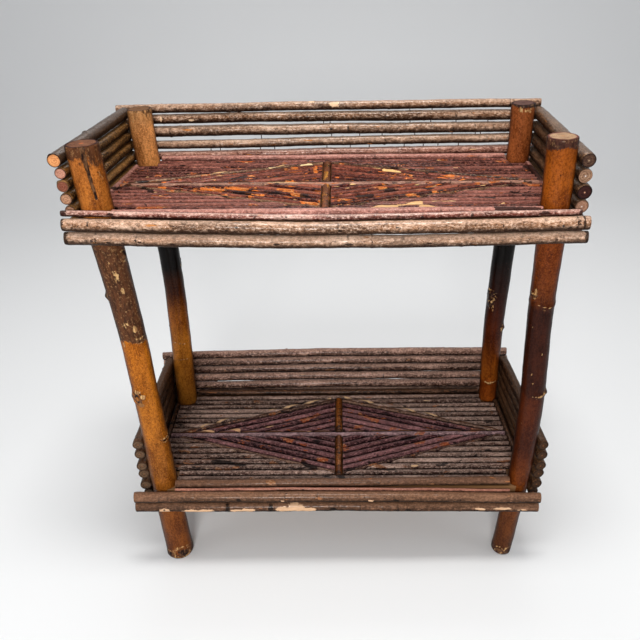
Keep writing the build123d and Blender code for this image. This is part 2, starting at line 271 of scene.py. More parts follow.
def joints_along(given, length, shift, unevenness):
    """How near each point is to a joint, from 0 to 1, and the cells that the joints lie in."""
    cell = {"W": length / given["Joint Spacing"] + shift, "Randomness": unevenness}
    cells = place("ShaderNodeTexVoronoi", cell, voronoi_dimensions="1D")
    away = cells["Distance"] * given["Joint Spacing"] / given["Joint Width"]
    return calc("EXPONENT", away * away * -1), cells


def captured(geometry, **facts):
    """The geometry, with facts of its points kept beside it for later."""
    kept = place("GeometryNodeCaptureAttribute", {"Geometry": geometry}, domain="POINT")
    for name, value in facts.items():
        kept.node.capture_items.new("VECTOR" if value.socket.type == "VECTOR" else "FLOAT", name)
        fill(kept.node.inputs, {name: value})
    return kept


def put_out(geometry, given, result):
    """Ends a tree with the geometry as one plain mesh with its material."""
    whole = place("GeometryNodeRealizeInstances", {"Geometry": geometry})[0]
    dressed = {"Geometry": whole, "Material": given["Material"]}
    fill(result, {"Geometry": place("GeometryNodeSetMaterial", dressed)[0]})


def put_out_shoots(tree, mesh, kept, grain, across, given, result):
    """Ends a tree of shoots: stores what their bark reads, and shades all but the sawn ends smooth."""
    wall_corners = 4.5  # a sawn end has more corners than any other face
    sawn = calc("GREATER_THAN", place("GeometryNodeCornersOfFace", tree=tree)["Total"], wall_corners)
    for name, value, kind, domain in (
        ("grain", grain, "FLOAT_VECTOR", "POINT"), ("across", across, "FLOAT_VECTOR", "POINT"),
        ("joint", kept["joint"], "FLOAT", "POINT"), ("luck", kept["luck"], "FLOAT", "POINT"),
        ("sawn", sawn, "FLOAT", "FACE"),
    ):
        inputs = {"Geometry": mesh, "Name": name, "Value": value}
        mesh = place("GeometryNodeStoreNamedAttribute", inputs, data_type=kind, domain=domain)[0]
    smooth = {"Geometry": mesh, "Shade Smooth": 1 - sawn}
    mesh = place("GeometryNodeSetShadeSmooth", smooth, domain="FACE")[0]
    put_out(mesh, given, result)


def shoot_tree():
    """Grows round shoots on lines: waver, joints with buds, lumps, and sawn ends."""
    bends, ripple_share = 11, 0.06  # bends to a metre, and how far the thickness goes up and down
    joint_unevenness, bud_sharpness, lump_middle = 0.7, 5, 0.6
    middle = (0.5, 0.5, 0.5)  # of noise in three directions
    tree, given, result = opened("round_shoot", "GeometryNodeTree", {
        "Geometry": "Geometry", "Step": 0.004, "Sides": 20, "Slimming": 0.96, "Waver": 0.001,
        "Joint Spacing": 0.08, "Joint Width": 0.004, "Joint Swell": 0.06, "Bud Height": 0.001,
        "Lump Height": 0.0004, "Lump Size": 0.012, "Saw Slant": 0.1, "Edge Wear": 0.0006, "Seed": 0.0,
        "Material": "Material",
    }, {"Geometry": "Geometry"})
    line = place("GeometryNodeMeshToCurve", {"Mesh": given["Geometry"]})["Curve"]
    line = place("GeometryNodeCurveSplineType", {"Curve": line}, spline_type="CATMULL_ROM")[0]
    line, length, total = resampled(tree, line, given["Step"])
    luck = own_luck(tree, given, 7.31)
    shift = luck * 40
    tangent = place("GeometryNodeInputTangent", tree=tree)["Tangent"]

    # Joints lie at uneven distances along the shoot, each with its bud on a side of its own.
    joint, cells = joints_along(given, length, shift, joint_unevenness)
    bud_way = cells["Color"] - middle

    drift = place("ShaderNodeCombineXYZ", {"X": length * bends, "Y": shift})[0]
    wander = noise(drift, colour=True) - middle
    wander = wander - scaled(tangent, dot(wander, tangent))
    wander = scaled(wander, given["Waver"] * 2)

    ripple = noise(drift, scale=2) - 0.5
    near_end = calc("MINIMUM", length, total - length)
    worn = ramp(near_end, 0, given["Step"], given["Edge Wear"], 0)
    radius = joint * given["Joint Swell"] + given["Slimming"] + ripple * ripple_share
    radius = named(tree, "thickness") * radius - worn

    moved = place("GeometryNodeSetPosition", {"Geometry": line, "Offset": wander})[0]
    kept = captured(
        moved, centre=place("GeometryNodeInputPosition", tree=tree)[0], tangent=tangent,
        normal=place("GeometryNodeInputNormal", tree=tree)["Normal"], bud_way=bud_way, length=length,
        total=total, radius=radius, joint=joint, luck=luck,
    )
    ring = place("GeometryNodeCurvePrimitiveCircle", {"Resolution": given["Sides"], "Radius": 1.0})
    tube = place("GeometryNodeCurveToMesh", {
        "Curve": kept["Geometry"], "Profile Curve": ring["Curve"], "Scale": kept["radius"],
        "Fill Caps": True,
    })["Mesh"]

    place_now = place("GeometryNodeInputPosition", tree=tree)[0]
    spoke = place_now - kept["centre"]
    outward = vector_calc("NORMALIZE", spoke)
    lump_at = scaled(place_now, 1 / given["Lump Size"]) + scaled((1.7, 2.3, 3.1), kept["luck"])
    lump = (noise(lump_at, detail=3) - lump_middle) * 2 * given["Lump Height"]
    facing = dot(outward, vector_calc("NORMALIZE", kept["bud_way"]))
    facing = calc("POWER", calc("MAXIMUM", facing, 0), bud_sharpness)
    bud = facing * kept["joint"] * given["Bud Height"]
    raised = scaled(outward, lump + bud)

    # The saw went through a little askew, so each end slants inward to one side.
    end_reach = 0.0002  # how near an end's points lie to it
    slant = (dot(outward, kept["normal"]) + 1) * (kept["radius"] * given["Saw Slant"])
    at_start = calc("LESS_THAN", kept["length"], end_reach)
    at_end = calc("GREATER_THAN", kept["length"], kept["total"] - end_reach)
    raised = raised + scaled(kept["tangent"], slant * (at_start - at_end))
    tube = place("GeometryNodeSetPosition", {"Geometry": tube, "Offset": raised})[0]

    sideways = vector_calc("CROSS_PRODUCT", kept["tangent"], kept["normal"])
    grain = place("ShaderNodeCombineXYZ", {
        "X": kept["length"] + kept["luck"] * 9, "Y": dot(spoke, kept["normal"]), "Z": dot(spoke, sideways),
    })[0]
    across = scaled(spoke, 1 / kept["radius"])
    put_out_shoots(tree, tube, kept, grain, across, given, result)
    return tree


round_shoot = shoot_tree()


def noted(mesh, name, values, kind="FLOAT"):
    """Writes a value or a vector for each of a mesh's corners in an attribute."""
    key = "vector" if kind == "FLOAT_VECTOR" else "value"
    mesh.attributes.new(name, kind, "POINT").data.foreach_set(key, values)


def rows(data, key):
    """The vectors of a mesh's corners or of one of its attributes, one to a row."""
    values = np.empty(len(data) * 3)
    data.foreach_get(key, values)
    return values.reshape(-1, 3)


def drawn_lines(name, lines):
    """A mesh of bare lines, each a list of (point, radius), with facts of its own if it has any."""
    mesh = bpy.data.meshes.new(name)
    points, edges, radii, numbers, facts = [], [], [], [], []
    for number, (stations, *own) in enumerate(lines):
        first = len(points)
        for point, radius in stations:
            points.append(point)
            radii.append(radius)
            numbers.append(number)
            facts.append(own)
        edges += [(at, at + 1) for at in range(first, len(points) - 1)]
    mesh.from_pydata(points, edges, [])
    noted(mesh, "thickness", radii)
    noted(mesh, "number", numbers)
    for count, fact in enumerate(facts[0]):
        for fact_name in fact:
            values = np.array([own[count][fact_name] for own in facts], dtype=float).ravel()
            noted(mesh, fact_name, values, "FLOAT_VECTOR")
    return put(mesh, name)


def grown(name, tree, lines, **inputs):
    """Runs a tree over lines and keeps the plain mesh that comes out."""
    rough = drawn_lines(f"{name}_lines", lines)
    modifier = rough.modifiers.new("growth", "NODES")
    modifier.node_group = tree
    for item in tree.interface.items_tree:
        key = item.name.lower().replace(" ", "_")
        if item.in_out == "INPUT" and key in inputs:
            modifier[item.identifier] = inputs[key]
    rough.update_tag()
    bpy.context.view_layer.update()
    evaluated = rough.evaluated_get(bpy.context.evaluated_depsgraph_get())
    mesh = bpy.data.meshes.new_from_object(evaluated)
    lines_mesh = rough.data
    bpy.data.objects.remove(rough)
    bpy.data.meshes.remove(lines_mesh)
    mesh.name = name
    return put(mesh, name)


def separate_solids(node):
    """The closed solids of a CAD node: corner points, and each face's normal, point and area."""
    whole = bmesh.new()
    whole.from_mesh(solid[node].data)
    bmesh.ops.remove_doubles(whole, verts=whole.verts, dist=1e-6)
    found, seen = [], set()
    for first in whole.verts:
        if first in seen:
            continue
        seen.add(first)
        reached = [first]
        for corner in reached:
            for edge in corner.link_edges:
                other = edge.other_vert(corner)
                if other not in seen:
                    seen.add(other)
                    reached.append(other)
        own = set(reached)
        faces = [face for face in whole.faces if face.verts[0] in own]
        walls = [(np.array(face.normal), np.array(face.verts[0].co), face.calc_area()) for face in faces]
        found.append((np.array([corner.co for corner in reached]), walls))
    whole.free()
    found.sort(key=lambda one: tuple(np.round(one[0].mean(axis=0), 5)))
    return found


def kept_within(piece, node):
    """Holds a grown piece inside the box of the solids that it follows."""
    corners = np.vstack([corner_points for corner_points, _ in separate_solids(node)])
    points = rows(piece.data.vertices, "co")
    points = np.clip(points, corners.min(axis=0), corners.max(axis=0))
    piece.data.vertices.foreach_set("co", points.ravel())
    piece.data.update()


def ring_stations(points):
    """The axis points and radii of a round solid, ring by ring."""
    ring_gap = 0.004  # more than the points of one ring differ along the axis
    middle = points.mean(axis=0)
    axis = np.linalg.svd(points - middle, full_matrices=False)[2][0]
    axis *= np.sign(axis[np.argmax(np.abs(axis))])
    along = (points - middle) @ axis
    order = np.argsort(along)
    cuts = np.flatnonzero(np.diff(along[order]) > ring_gap) + 1
    stations = []
    for ring in np.split(points[order], cuts):
        centre = (ring.min(axis=0) + ring.max(axis=0)) / 2
        stations.append((centre, np.linalg.norm(ring - centre, axis=1).max()))
    return stations


def rings_of(node):
    """The stations of a node that is one round solid."""
    [(corner_points, _)] = separate_solids(node)
    return ring_stations(corner_points)


def mixed(share, low, high):
    """Two colours mixed by a share."""
    return place("ShaderNodeMix", {0: share, 6: low, 7: high}, data_type="RGBA")[2]


def attribute(tree, name, output="Fac"):
    """A named attribute of a piece, in its material."""
    return place("ShaderNodeAttribute", tree=tree, attribute_name=name)[output]


def end_grain_group():
    """A sawn end: growth rings round a pith, saw marks, and a rim of bark."""
    tree, given, result = opened("end_grain", "ShaderNodeTree", {
        "Across": "Vector", "Luck": 0.0, "Wood": "Color", "Ring": "Color", "Rim": "Color", "Pith": "Color",
        "Rings": 6.0,
    }, {"Colour": "Color", "Height": "Float"})
    spot = given["Across"] + scaled((5, 3, 7), given["Luck"])
    out = place("ShaderNodeVectorMath", {0: given["Across"]}, operation="LENGTH")["Value"]
    uneven = (noise(spot, 1.6) - 0.5) * 0.35
    turns = (out + uneven) * (given["Rings"] * (2 * pi))
    saw_marks = noise(spot * (2, 9, 9), 1, 4, 0.65)
    ring = calc("ADD", (calc("SINE", turns) + 1) * 0.2, ramp(saw_marks, 0.4, 0.62, 0, 0.6), clamp=True)
    wood = mixed(ring, given["Wood"], given["Ring"])
    wood = mixed(ramp(out + uneven * 0.6, 0.8, 0.92), wood, given["Rim"])
    pith = ramp(out + uneven * 0.3, 0.1, 0.2, 1, 0)
    wood = mixed(pith, wood, given["Pith"])
    fill(result, {"Colour": wood, "Height": saw_marks - pith * 0.5})
    return tree


end_grain = end_grain_group()


def varnished(name, coat_roughness, specular):
    """A new material whose Principled shader carries a thin varnish over dull wood."""
    material, shader = new_material(name)
    fill(shader.inputs, {"Coat Roughness": coat_roughness, "Specular IOR Level": specular})
    return material, material.node_tree, shader


def finish_with_ends(tree, shader, skin, end_colours, rings, relief, edge_shade):
    """Joins a skin and its sawn ends to the shader, with a bump, and paints shade on the skin where it turns
    away.
    """
    end_roughness, end_gloss = 0.62, 0.02
    ends = place("ShaderNodeGroup", tree=tree, node_tree=end_grain)
    across, luck = attribute(tree, "across", "Vector"), attribute(tree, "luck")
    fill(ends.node.inputs, {"Across": across, "Luck": luck, "Rings": rings})
    painted(ends.node.inputs, ("Wood", "Ring", "Rim", "Pith"), end_colours)
    sawn = attribute(tree, "sawn")

    def unless_sawn(on_skin, on_ends):
        return place("ShaderNodeMix", {0: sawn, 2: on_skin, 3: on_ends})[0]

    # Painted shade: the skin's colour darkens towards its edges as seen, where it turns away from the view.
    turned = ramp(place("ShaderNodeLayerWeight", tree=tree)["Facing"], 0.35, 0.95, 0, edge_shade)
    outside = mixed(turned, skin["Colour"], paint(22, 12, 8))
    height = unless_sawn(skin["Height"], ends["Height"])
    bump = place("ShaderNodeBump", {"Strength": 1.0, "Distance": relief, "Height": height})
    fill(shader.inputs, {
        "Base Color": mixed(sawn, outside, ends["Colour"]),
        "Roughness": unless_sawn(skin["Roughness"], end_roughness),
        "Coat Weight": unless_sawn(skin["Gloss"], end_gloss),
        "Normal": bump["Normal"],
    })


def stretched(grain, along, around):
    """A grain vector scaled along a twig and round it."""
    return grain * (along, around, around)


def grain_noise(grain, along, around, detail, roughness):
    """Noise drawn out along a twig by growth, as fine along it and round it as two scales say."""
    return noise(stretched(grain, along, around), 1, detail, roughness)


def layered(colour, *layers):
    """Lays colours over one another, each by a ramp on a mask: low, high, and its two results."""
    for mask, low, high, to_low, to_high, over in layers:
        colour = mixed(ramp(mask, low, high, to_low, to_high), colour, over)
    return colour


def pitted(grain, along, around, size, sparseness):
    """Small round pits, in some of the cells of a pattern."""
    cells = place("ShaderNodeTexVoronoi", {"Vector": stretched(grain, along, around), "Scale": 1.0})
    return ramp(cells["Distance"], 0.09, size, 1, 0) * ramp(cells["Color"], 0.5, sparseness)


def pole_skin_group():
    """Varnished honey-coloured wood with fine speckle, and bark, scars and raw patches by their masks."""
    tree, given, result = opened("pole_skin", "ShaderNodeTree", {
        "Grain": "Vector", "Wood": "Color", "Bark": "Color", "Bark Mask": 0.0, "Scar": 0.0, "Raw": 0.0,
    }, {"Colour": "Color", "Roughness": "Float", "Gloss": "Float", "Height": "Float"})
    grain = given["Grain"]
    cloud = grain_noise(grain, 17, 42, 3, 0.6)
    fibre = grain_noise(grain, 40, 520, 3, 0.6)
    speck = grain_noise(grain, 260, 330, 3, 0.7)
    fine = grain_noise(grain, 460, 620, 2, 0.6)
    deep = given["Wood"] * (0.4, 0.29, 0.17)
    bright = given["Wood"] * (1.65, 1.66, 1.5)
    pit = pitted(grain, 110, 150, 0.17, 0.56)
    colour = layered(
        given["Wood"],
        (cloud, 0.38, 0.56, 0.75, 0, deep), (cloud, 0.52, 0.66, 0, 0.6, bright),
        (speck, 0.38, 0.5, 0.5, 0, deep), (speck, 0.53, 0.64, 0, 0.45, bright),
        (fine, 0.36, 0.48, 0.4, 0, deep), (fine, 0.53, 0.64, 0, 0.5, bright),
        (fibre, 0.54, 0.7, 0, 0.3, bright),
    )
    colour = mixed(pit * 0.75, colour, paint(52, 26, 14))

    ragged = grain_noise(grain, 60, 120, 5, 0.7)
    bark = ramp(given["Bark Mask"] + (ragged - 0.5) * 1.7, 0.4, 0.58)
    skin = grain_noise(grain, 75, 210, 4, 0.65)
    dull = mixed(0.6, given["Bark"], paint(20, 11, 8))
    lit = mixed(0.4, given["Bark"], paint(206, 158, 104))
    bark_colour = mixed(ramp(skin, 0.36, 0.6), dull, given["Bark"])
    bark_colour = mixed(ramp(speck, 0.54, 0.68, 0, 0.7), bark_colour, lit)
    colour = mixed(bark, colour, bark_colour)

    torn = (speck - 0.5) * 1.2 + (ragged - 0.5) * 0.9
    raw = ramp(given["Raw"] + torn, 0.44, 0.56)
    raw_colour = mixed(ramp(fibre, 0.4, 0.62), paint(136, 90, 48), paint(214, 172, 116))
    colour = mixed(raw, colour, raw_colour)
    scar = ramp(given["Scar"] + torn, 0.44, 0.56)
    scar_colour = mixed(ramp(skin, 0.42, 0.62), paint(30, 17, 11), paint(112, 76, 48))
    fill(result, {
        "Colour": mixed(scar, colour, scar_colour),
        "Roughness": ramp(speck, 0.3, 0.7, 0.3, 0.5) + bark * 0.1,
        "Gloss": ramp(fine, 0.35, 0.6, 0.03, 0.2),
        "Height": speck * 0.45 + bark * (skin + 0.3) + raw * 0.5 - (pit * 0.4 + scar * skin),
    })
    return tree


pole_skin = pole_skin_group()


def pole_material(name, stops, bark_colour, top_colours):
    """One pole's wood, with its own colours from the foot to the top."""
    top = 0.72  # just above every pole's own top
    material, tree, shader = varnished(name, 0.2, 0.04)
    spot = place("ShaderNodeTexCoord", tree=tree)["Object"]
    height = place("ShaderNodeSeparateXYZ", {0: spot})["Z"] + (noise(spot, 45, 4, 0.65) - 0.5) * 0.022
    wood = place("ShaderNodeValToRGB", {0: height / top})
    elements = wood.node.color_ramp.elements
    while len(elements) < len(stops):
        elements.new(0.5)
    for element, (at, colour) in zip(elements, stops):
        element.position = at / top
        element.color = paint(*colour)
    skin = place("ShaderNodeGroup", tree=tree, node_tree=pole_skin)
    fill(skin.node.inputs, {
        "Grain": attribute(tree, "grain", "Vector"), "Wood": wood["Color"], "Bark": paint(*bark_colour),
        "Bark Mask": attribute(tree, "bark"), "Scar": attribute(tree, "scar"), "Raw": attribute(tree, "raw"),
    })
    finish_with_ends(tree, shader, skin, top_colours, 8, 0.0007, 0.8)
    return material


# The bumps of a burr, as shares of its size to the side and up.
burr_bumps = (
    (0, 0), (0.55, 0.25), (-0.5, 0.4), (0.3, -0.6), (-0.45, -0.45), (0.1, 0.75), (0.8, -0.25), (-0.85, -0.05))


def hump(away):
    """1 where something is, and less with its distance."""
    return np.exp(-away ** 2)


def scarred_pole(piece, marks, bark_spans, raw_spans):
    """Raises stubs, burrs, rings and cracks on a pole, and marks its bark, scars and raw wood."""
    crack_half_width, ring_reach, ring_waver = 0.0011, 0.017, 0.0025
    fold_height, fold_width, fold_bend = 0.003, 0.0015, 55
    least_bark, most_bark, raw_fade = -0.6, 1.5, 0.006
    reach = 0.019  # a pole's usual radius, to turn angles into lengths
    mesh = piece.data
    points = rows(mesh.vertices, "co")
    across = rows(mesh.attributes["across"].data, "vector")[:, :2]
    bearing = np.arctan2(across[:, 1], across[:, 0])
    outward = across / np.linalg.norm(across, axis=1)[:, None]
    wobble = np.sin(points[:, 2] * 830 + 3 * bearing) * 0.6 + np.sin(points[:, 2] * 1490 - 7 * bearing) * 0.4
    rise, scar, raw = np.zeros((3, len(points)))

    def sideways(angle):
        return np.angle(np.exp(1j * (bearing - angle))) * reach

    for kind, height, angle, size, depth in marks:
        up = points[:, 2] - height
        if kind == "crack":
            # Its angle is a pair, at the crack's top and its end, and its size is its length.
            down = np.clip(-up / size, 0, 1)
            turn = sideways(radians(angle[0]) + (radians(angle[1]) - radians(angle[0])) * down)
            within = hump(turn / (crack_half_width * (1 - 0.3 * down))) * (-up < size)
            rise -= depth * within
            scar = np.maximum(scar, 1.5 * within)
            continue
        turn = sideways(radians(angle))
        away = np.hypot(turn, up) / size * (1 + 0.16 * wobble)
        if kind == "stub":
            rise += depth * np.exp(-(away ** 2) * 2.2)
            scar = np.maximum(scar, 0.75 * np.exp(-(away ** 2) * 1.3))
            raw = np.maximum(raw, 0.55 * hump((away - 0.95) / 0.3))
        elif kind == "burr":
            scar = np.maximum(scar, 0.6 * np.exp(-(away / 0.9) ** 4))
            for number, (aside, above) in enumerate(burr_bumps):
                near = np.hypot(turn - aside * size, up - above * size) / (0.3 * size)
                rise += depth * hump(near)
                raw = np.maximum(raw, (0.95 if number % 2 else 0.5) * hump(near))
                scar = np.where(near < 0.7, scar * 0.4, scar)
        elif kind == "ring":
            fall = up - ring_waver * np.sin(2 * bearing + height * 40) - 0.0012 * wobble
            side = hump(turn / ring_reach)
            rise += depth * hump(fall / size) * (0.4 + 0.6 * side)
            raw = np.maximum(raw, 0.9 * hump(fall / (0.4 * size)) * side)
            scar = np.maximum(scar, 0.55 * hump((fall + size) / (0.5 * size)) * side)
        elif kind == "smile":
            # A scar of curved folds, open at the top, where a side branch grew over.
            fold = up - fold_bend * turn ** 2
            on = np.exp(-(turn / size) ** 4)
            lips = hump((fold - fold_height) / fold_width) + hump((fold + fold_height) / fold_width)
            rise += depth * on * lips
            raw = np.maximum(raw, 0.9 * on * hump((fold - 0.0035) / 0.0012))
            raw = np.maximum(raw, 0.75 * on * hump((fold + 0.0032) / 0.001))
            scar = np.maximum(scar, 1.2 * on * hump(fold / 0.0014))
        elif kind == "fleck":
            # Its depth is how strongly the raw wood shows through.
            raw = np.maximum(raw, depth * hump(np.hypot(turn / size, up / (1.8 * size))))
    points[:, :2] += outward * rise[:, None]
    mesh.vertices.foreach_set("co", points.ravel())
    bark = np.full(len(points), least_bark)
    for low, high, angle, lean, fade in bark_spans:
        facing = lean * np.cos(bearing - radians(angle))
        span = np.minimum(points[:, 2] - low + facing, high - points[:, 2]) / fade
        bark = np.maximum(bark, np.clip(0.5 + span, least_bark, most_bark))
    for low, high, angle, width, strength in raw_spans:
        span = np.clip(np.minimum(points[:, 2] - low, high - points[:, 2]) / raw_fade, 0, 1)
        raw = np.maximum(raw, strength * span * hump(sideways(radians(angle)) / width))
    for name, values in (("bark", bark), ("scar", scar), ("raw", raw)):
        noted(mesh, name, values)
    mesh.update()


# For each pole: its colours up from the floor, its bark's colour, the colours of its sawn ends,
# its marks, the spans of bark left on it, and the spans where raw wood shows through.
pole_looks = {
    "pole_front_left": (
        [(0, (104, 54, 18)), (0.10, (118, 64, 22)), (0.20, (142, 84, 27)), (0.34, (166, 97, 26)),
         (0.434, (172, 98, 24)), (0.60, (134, 78, 30)), (0.66, (162, 95, 36)), (0.717, (152, 88, 40))],
        (92, 54, 30), ((140, 94, 66), (84, 50, 36), (48, 26, 24), (170, 96, 60)),
        [("crack", 0.722, (-77, -66), 0.070, 0.0022), ("crack", 0.722, (-66, -63), 0.070, 0.0022),
         ("stub", 0.570, -18, 0.008, 0.004), ("stub", 0.510, -162, 0.007, 0.003),
         ("smile", 0.441, -44, 0.009, 0.0014), ("burr", 0.343, -112, 0.016, 0.0022),
         ("fleck", 0.401, -85, 0.0012, 0.2), ("smile", 0.257, -26, 0.011, 0.0017),
         ("stub", 0.014, -62, 0.013, 0.0018), ("stub", 0.010, -120, 0.008, 0.0012),
         ("fleck", 0.546, -70, 0.006, 0.6), ("fleck", 0.566, -82, 0.004, 0.6),
         ("fleck", 0.522, -60, 0.004, 0.6), ("fleck", 0.462, -52, 0.004, 0.8),
         ("fleck", 0.47, -88, 0.004, 0.6), ("fleck", 0.437, -118, 0.003, 0.8),
         ("fleck", 0.68, -30, 0.004, 0.6)],
        [(0.438, 0.592, -120, -0.004, 0.014), (0.716, 0.76, -125, 0.0145, 0.012),
         (0.720, 0.76, -15, 0.03, 0.07), (-0.05, 0.012, 0, 0, 0.014)],
        [(0.446, 0.585, -74, 0.008, 0.27), (0.02, 0.12, -60, 0.02, 0.12), (0.62, 0.70, -45, 0.012, 0.15)],
    ),
    "pole_front_right": (
        [(0, (84, 44, 16)), (0.12, (96, 50, 18)), (0.17, (98, 46, 13)), (0.22, (68, 28, 9)),
         (0.332, (66, 26, 8)), (0.342, (52, 19, 6)), (0.478, (50, 18, 6)), (0.492, (88, 40, 10)),
         (0.56, (110, 50, 12)), (0.66, (134, 68, 16)), (0.717, (122, 60, 15))],
        (74, 44, 34), ((198, 164, 128), (128, 90, 66), (104, 60, 52), (176, 134, 96)),
        [("ring", 0.487, -88, 0.004, 0.0014), ("smile", 0.499, -150, 0.007, 0.002),
         ("fleck", 0.505, -140, 0.004, 0.8), ("ring", 0.339, -66, 0.0035, 0.0010),
         ("stub", 0.339, -25, 0.007, 0.0025), ("fleck", 0.282, -143, 0.003, 0.5),
         ("burr", 0.15, -165, 0.008, 0.0014), ("fleck", 0.41, -80, 0.0013, 1),
         ("fleck", 0.375, -120, 0.001, 1), ("fleck", 0.36, -112, 0.001, 0.9),
         ("fleck", 0.452, -135, 0.001, 0.9), ("stub", 0.008, -60, 0.010, 0.0014),
         ("stub", 0.010, -120, 0.008, 0.0012)],
        [(0.698, 0.76, -30, -0.003, 0.012), (-0.05, 0.014, 40, 0.004, 0.014)],
        [(0.02, 0.13, -90, 0.02, 0.12)],
    ),
    "pole_back_left": (
        # From 0.40 up to the tray this pole darkens to near black: dark bark, with the tray's shadow painted
        # on it.
        [(0, (116, 74, 30)), (0.17, (136, 84, 28)), (0.30, (172, 104, 34)), (0.35, (150, 84, 26)),
         (0.40, (70, 32, 10)), (0.45, (9, 4, 3)), (0.60, (7, 3, 2)), (0.62, (200, 132, 74)),
         (0.68, (196, 132, 78)), (0.717, (138, 102, 68))],
        (84, 56, 36), ((124, 86, 56), (98, 66, 42), (70, 46, 32), (98, 66, 42)),
        [("burr", 0.45, 20, 0.009, 0.0014), ("ring", 0.265, -80, 0.003, 0.0008),
         ("burr", 0.33, 160, 0.008, 0.0014), ("ring", 0.30, -75, 0.002, 0.0003)],
        [(0.714, 0.76, -80, 0.002, 0.05)],
        [(0.680, 0.714, -80, 0.03, 0.34)],
    ),
    "pole_back_right": (
        # From 0.30 up to the tray this pole darkens to near black: dark bark, with the tray's shadow painted
        # on it.
        [(0, (84, 50, 22)), (0.17, (118, 56, 16)), (0.202, (120, 56, 16)), (0.212, (134, 70, 20)),
         (0.30, (70, 27, 8)), (0.35, (52, 18, 6)), (0.40, (32, 11, 5)), (0.45, (6, 3, 2)),
         (0.60, (6, 3, 2)), (0.62, (142, 76, 38)), (0.70, (138, 76, 40))],
        (50, 33, 29), ((104, 74, 64), (80, 54, 48), (56, 36, 32), (80, 54, 48)),
        [("stub", 0.383, -150, 0.012, 0.0055), ("stub", 0.366, -140, 0.007, 0.003),
         ("fleck", 0.357, -120, 0.002, 0.9), ("stub", 0.318, -30, 0.008, 0.003),
         ("fleck", 0.318, -46, 0.002, 0.9), ("ring", 0.206, -95, 0.004, 0.0010)],
        [(0.700, 0.76, -80, 0.003, 0.012)],
        [(0.686, 0.704, -85, 0.03, 0.5)],
    ),
}

for count, (pole, (stops, bark_colour, top_colours, *marks)) in enumerate(pole_looks.items()):
    stations = sorted(rings_of(pole), key=lambda station: station[0][2])
    wood = pole_material(f"{pole}_wood", stops, bark_colour, top_colours)
    piece = grown(
        pole + "_grown", round_shoot, [(stations,)], step=0.0018, sides=84, slimming=0.985, waver=0.0012,
        joint_spacing=0.19, joint_width=0.007, joint_swell=0.0, bud_height=0.0, lump_height=0.0006,
        lump_size=0.03, saw_slant=0.0, edge_wear=0.0012, seed=count * 3.7, material=wood,
    )
    scarred_pole(piece, *marks)
    kept_within(piece, pole)
    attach(piece, "root")
    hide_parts(pole)

# --- Boards
# A plain softwood board lies under each deck, notched round the poles, and its facing twigs are
# nailed to it. It shows only from below.


def board_material():
    """Planed softwood, darkened by age, with its grain along the board."""
    material, tree, shader = varnished("board_pine", 0.05, 0.3)
    spot = place("ShaderNodeTexCoord", tree=tree)["Object"]
    grain = noise(spot * (5, 130, 60), 1, 4, 0.6)
    wide = noise(spot * (1.5, 16, 10), 1, 2)
    colour = mixed(ramp(grain, 0.35, 0.65), paint(104, 70, 42), paint(150, 110, 70))
    bump = place("ShaderNodeBump", {"Strength": 0.8, "Distance": 0.0004, "Height": grain})
    fill(shader.inputs, {
        "Base Color": mixed(ramp(wide, 0.35, 0.7, 0, 0.5), colour, paint(84, 54, 32)),
        "Roughness": ramp(grain, 0.3, 0.7, 0.65, 0.5), "Normal": bump["Normal"],
    })
    return material


pine = board_material()
for board in ("tray_board", "shelf_board"):
    solid[board].data.materials.clear()
    solid[board].data.materials.append(pine)
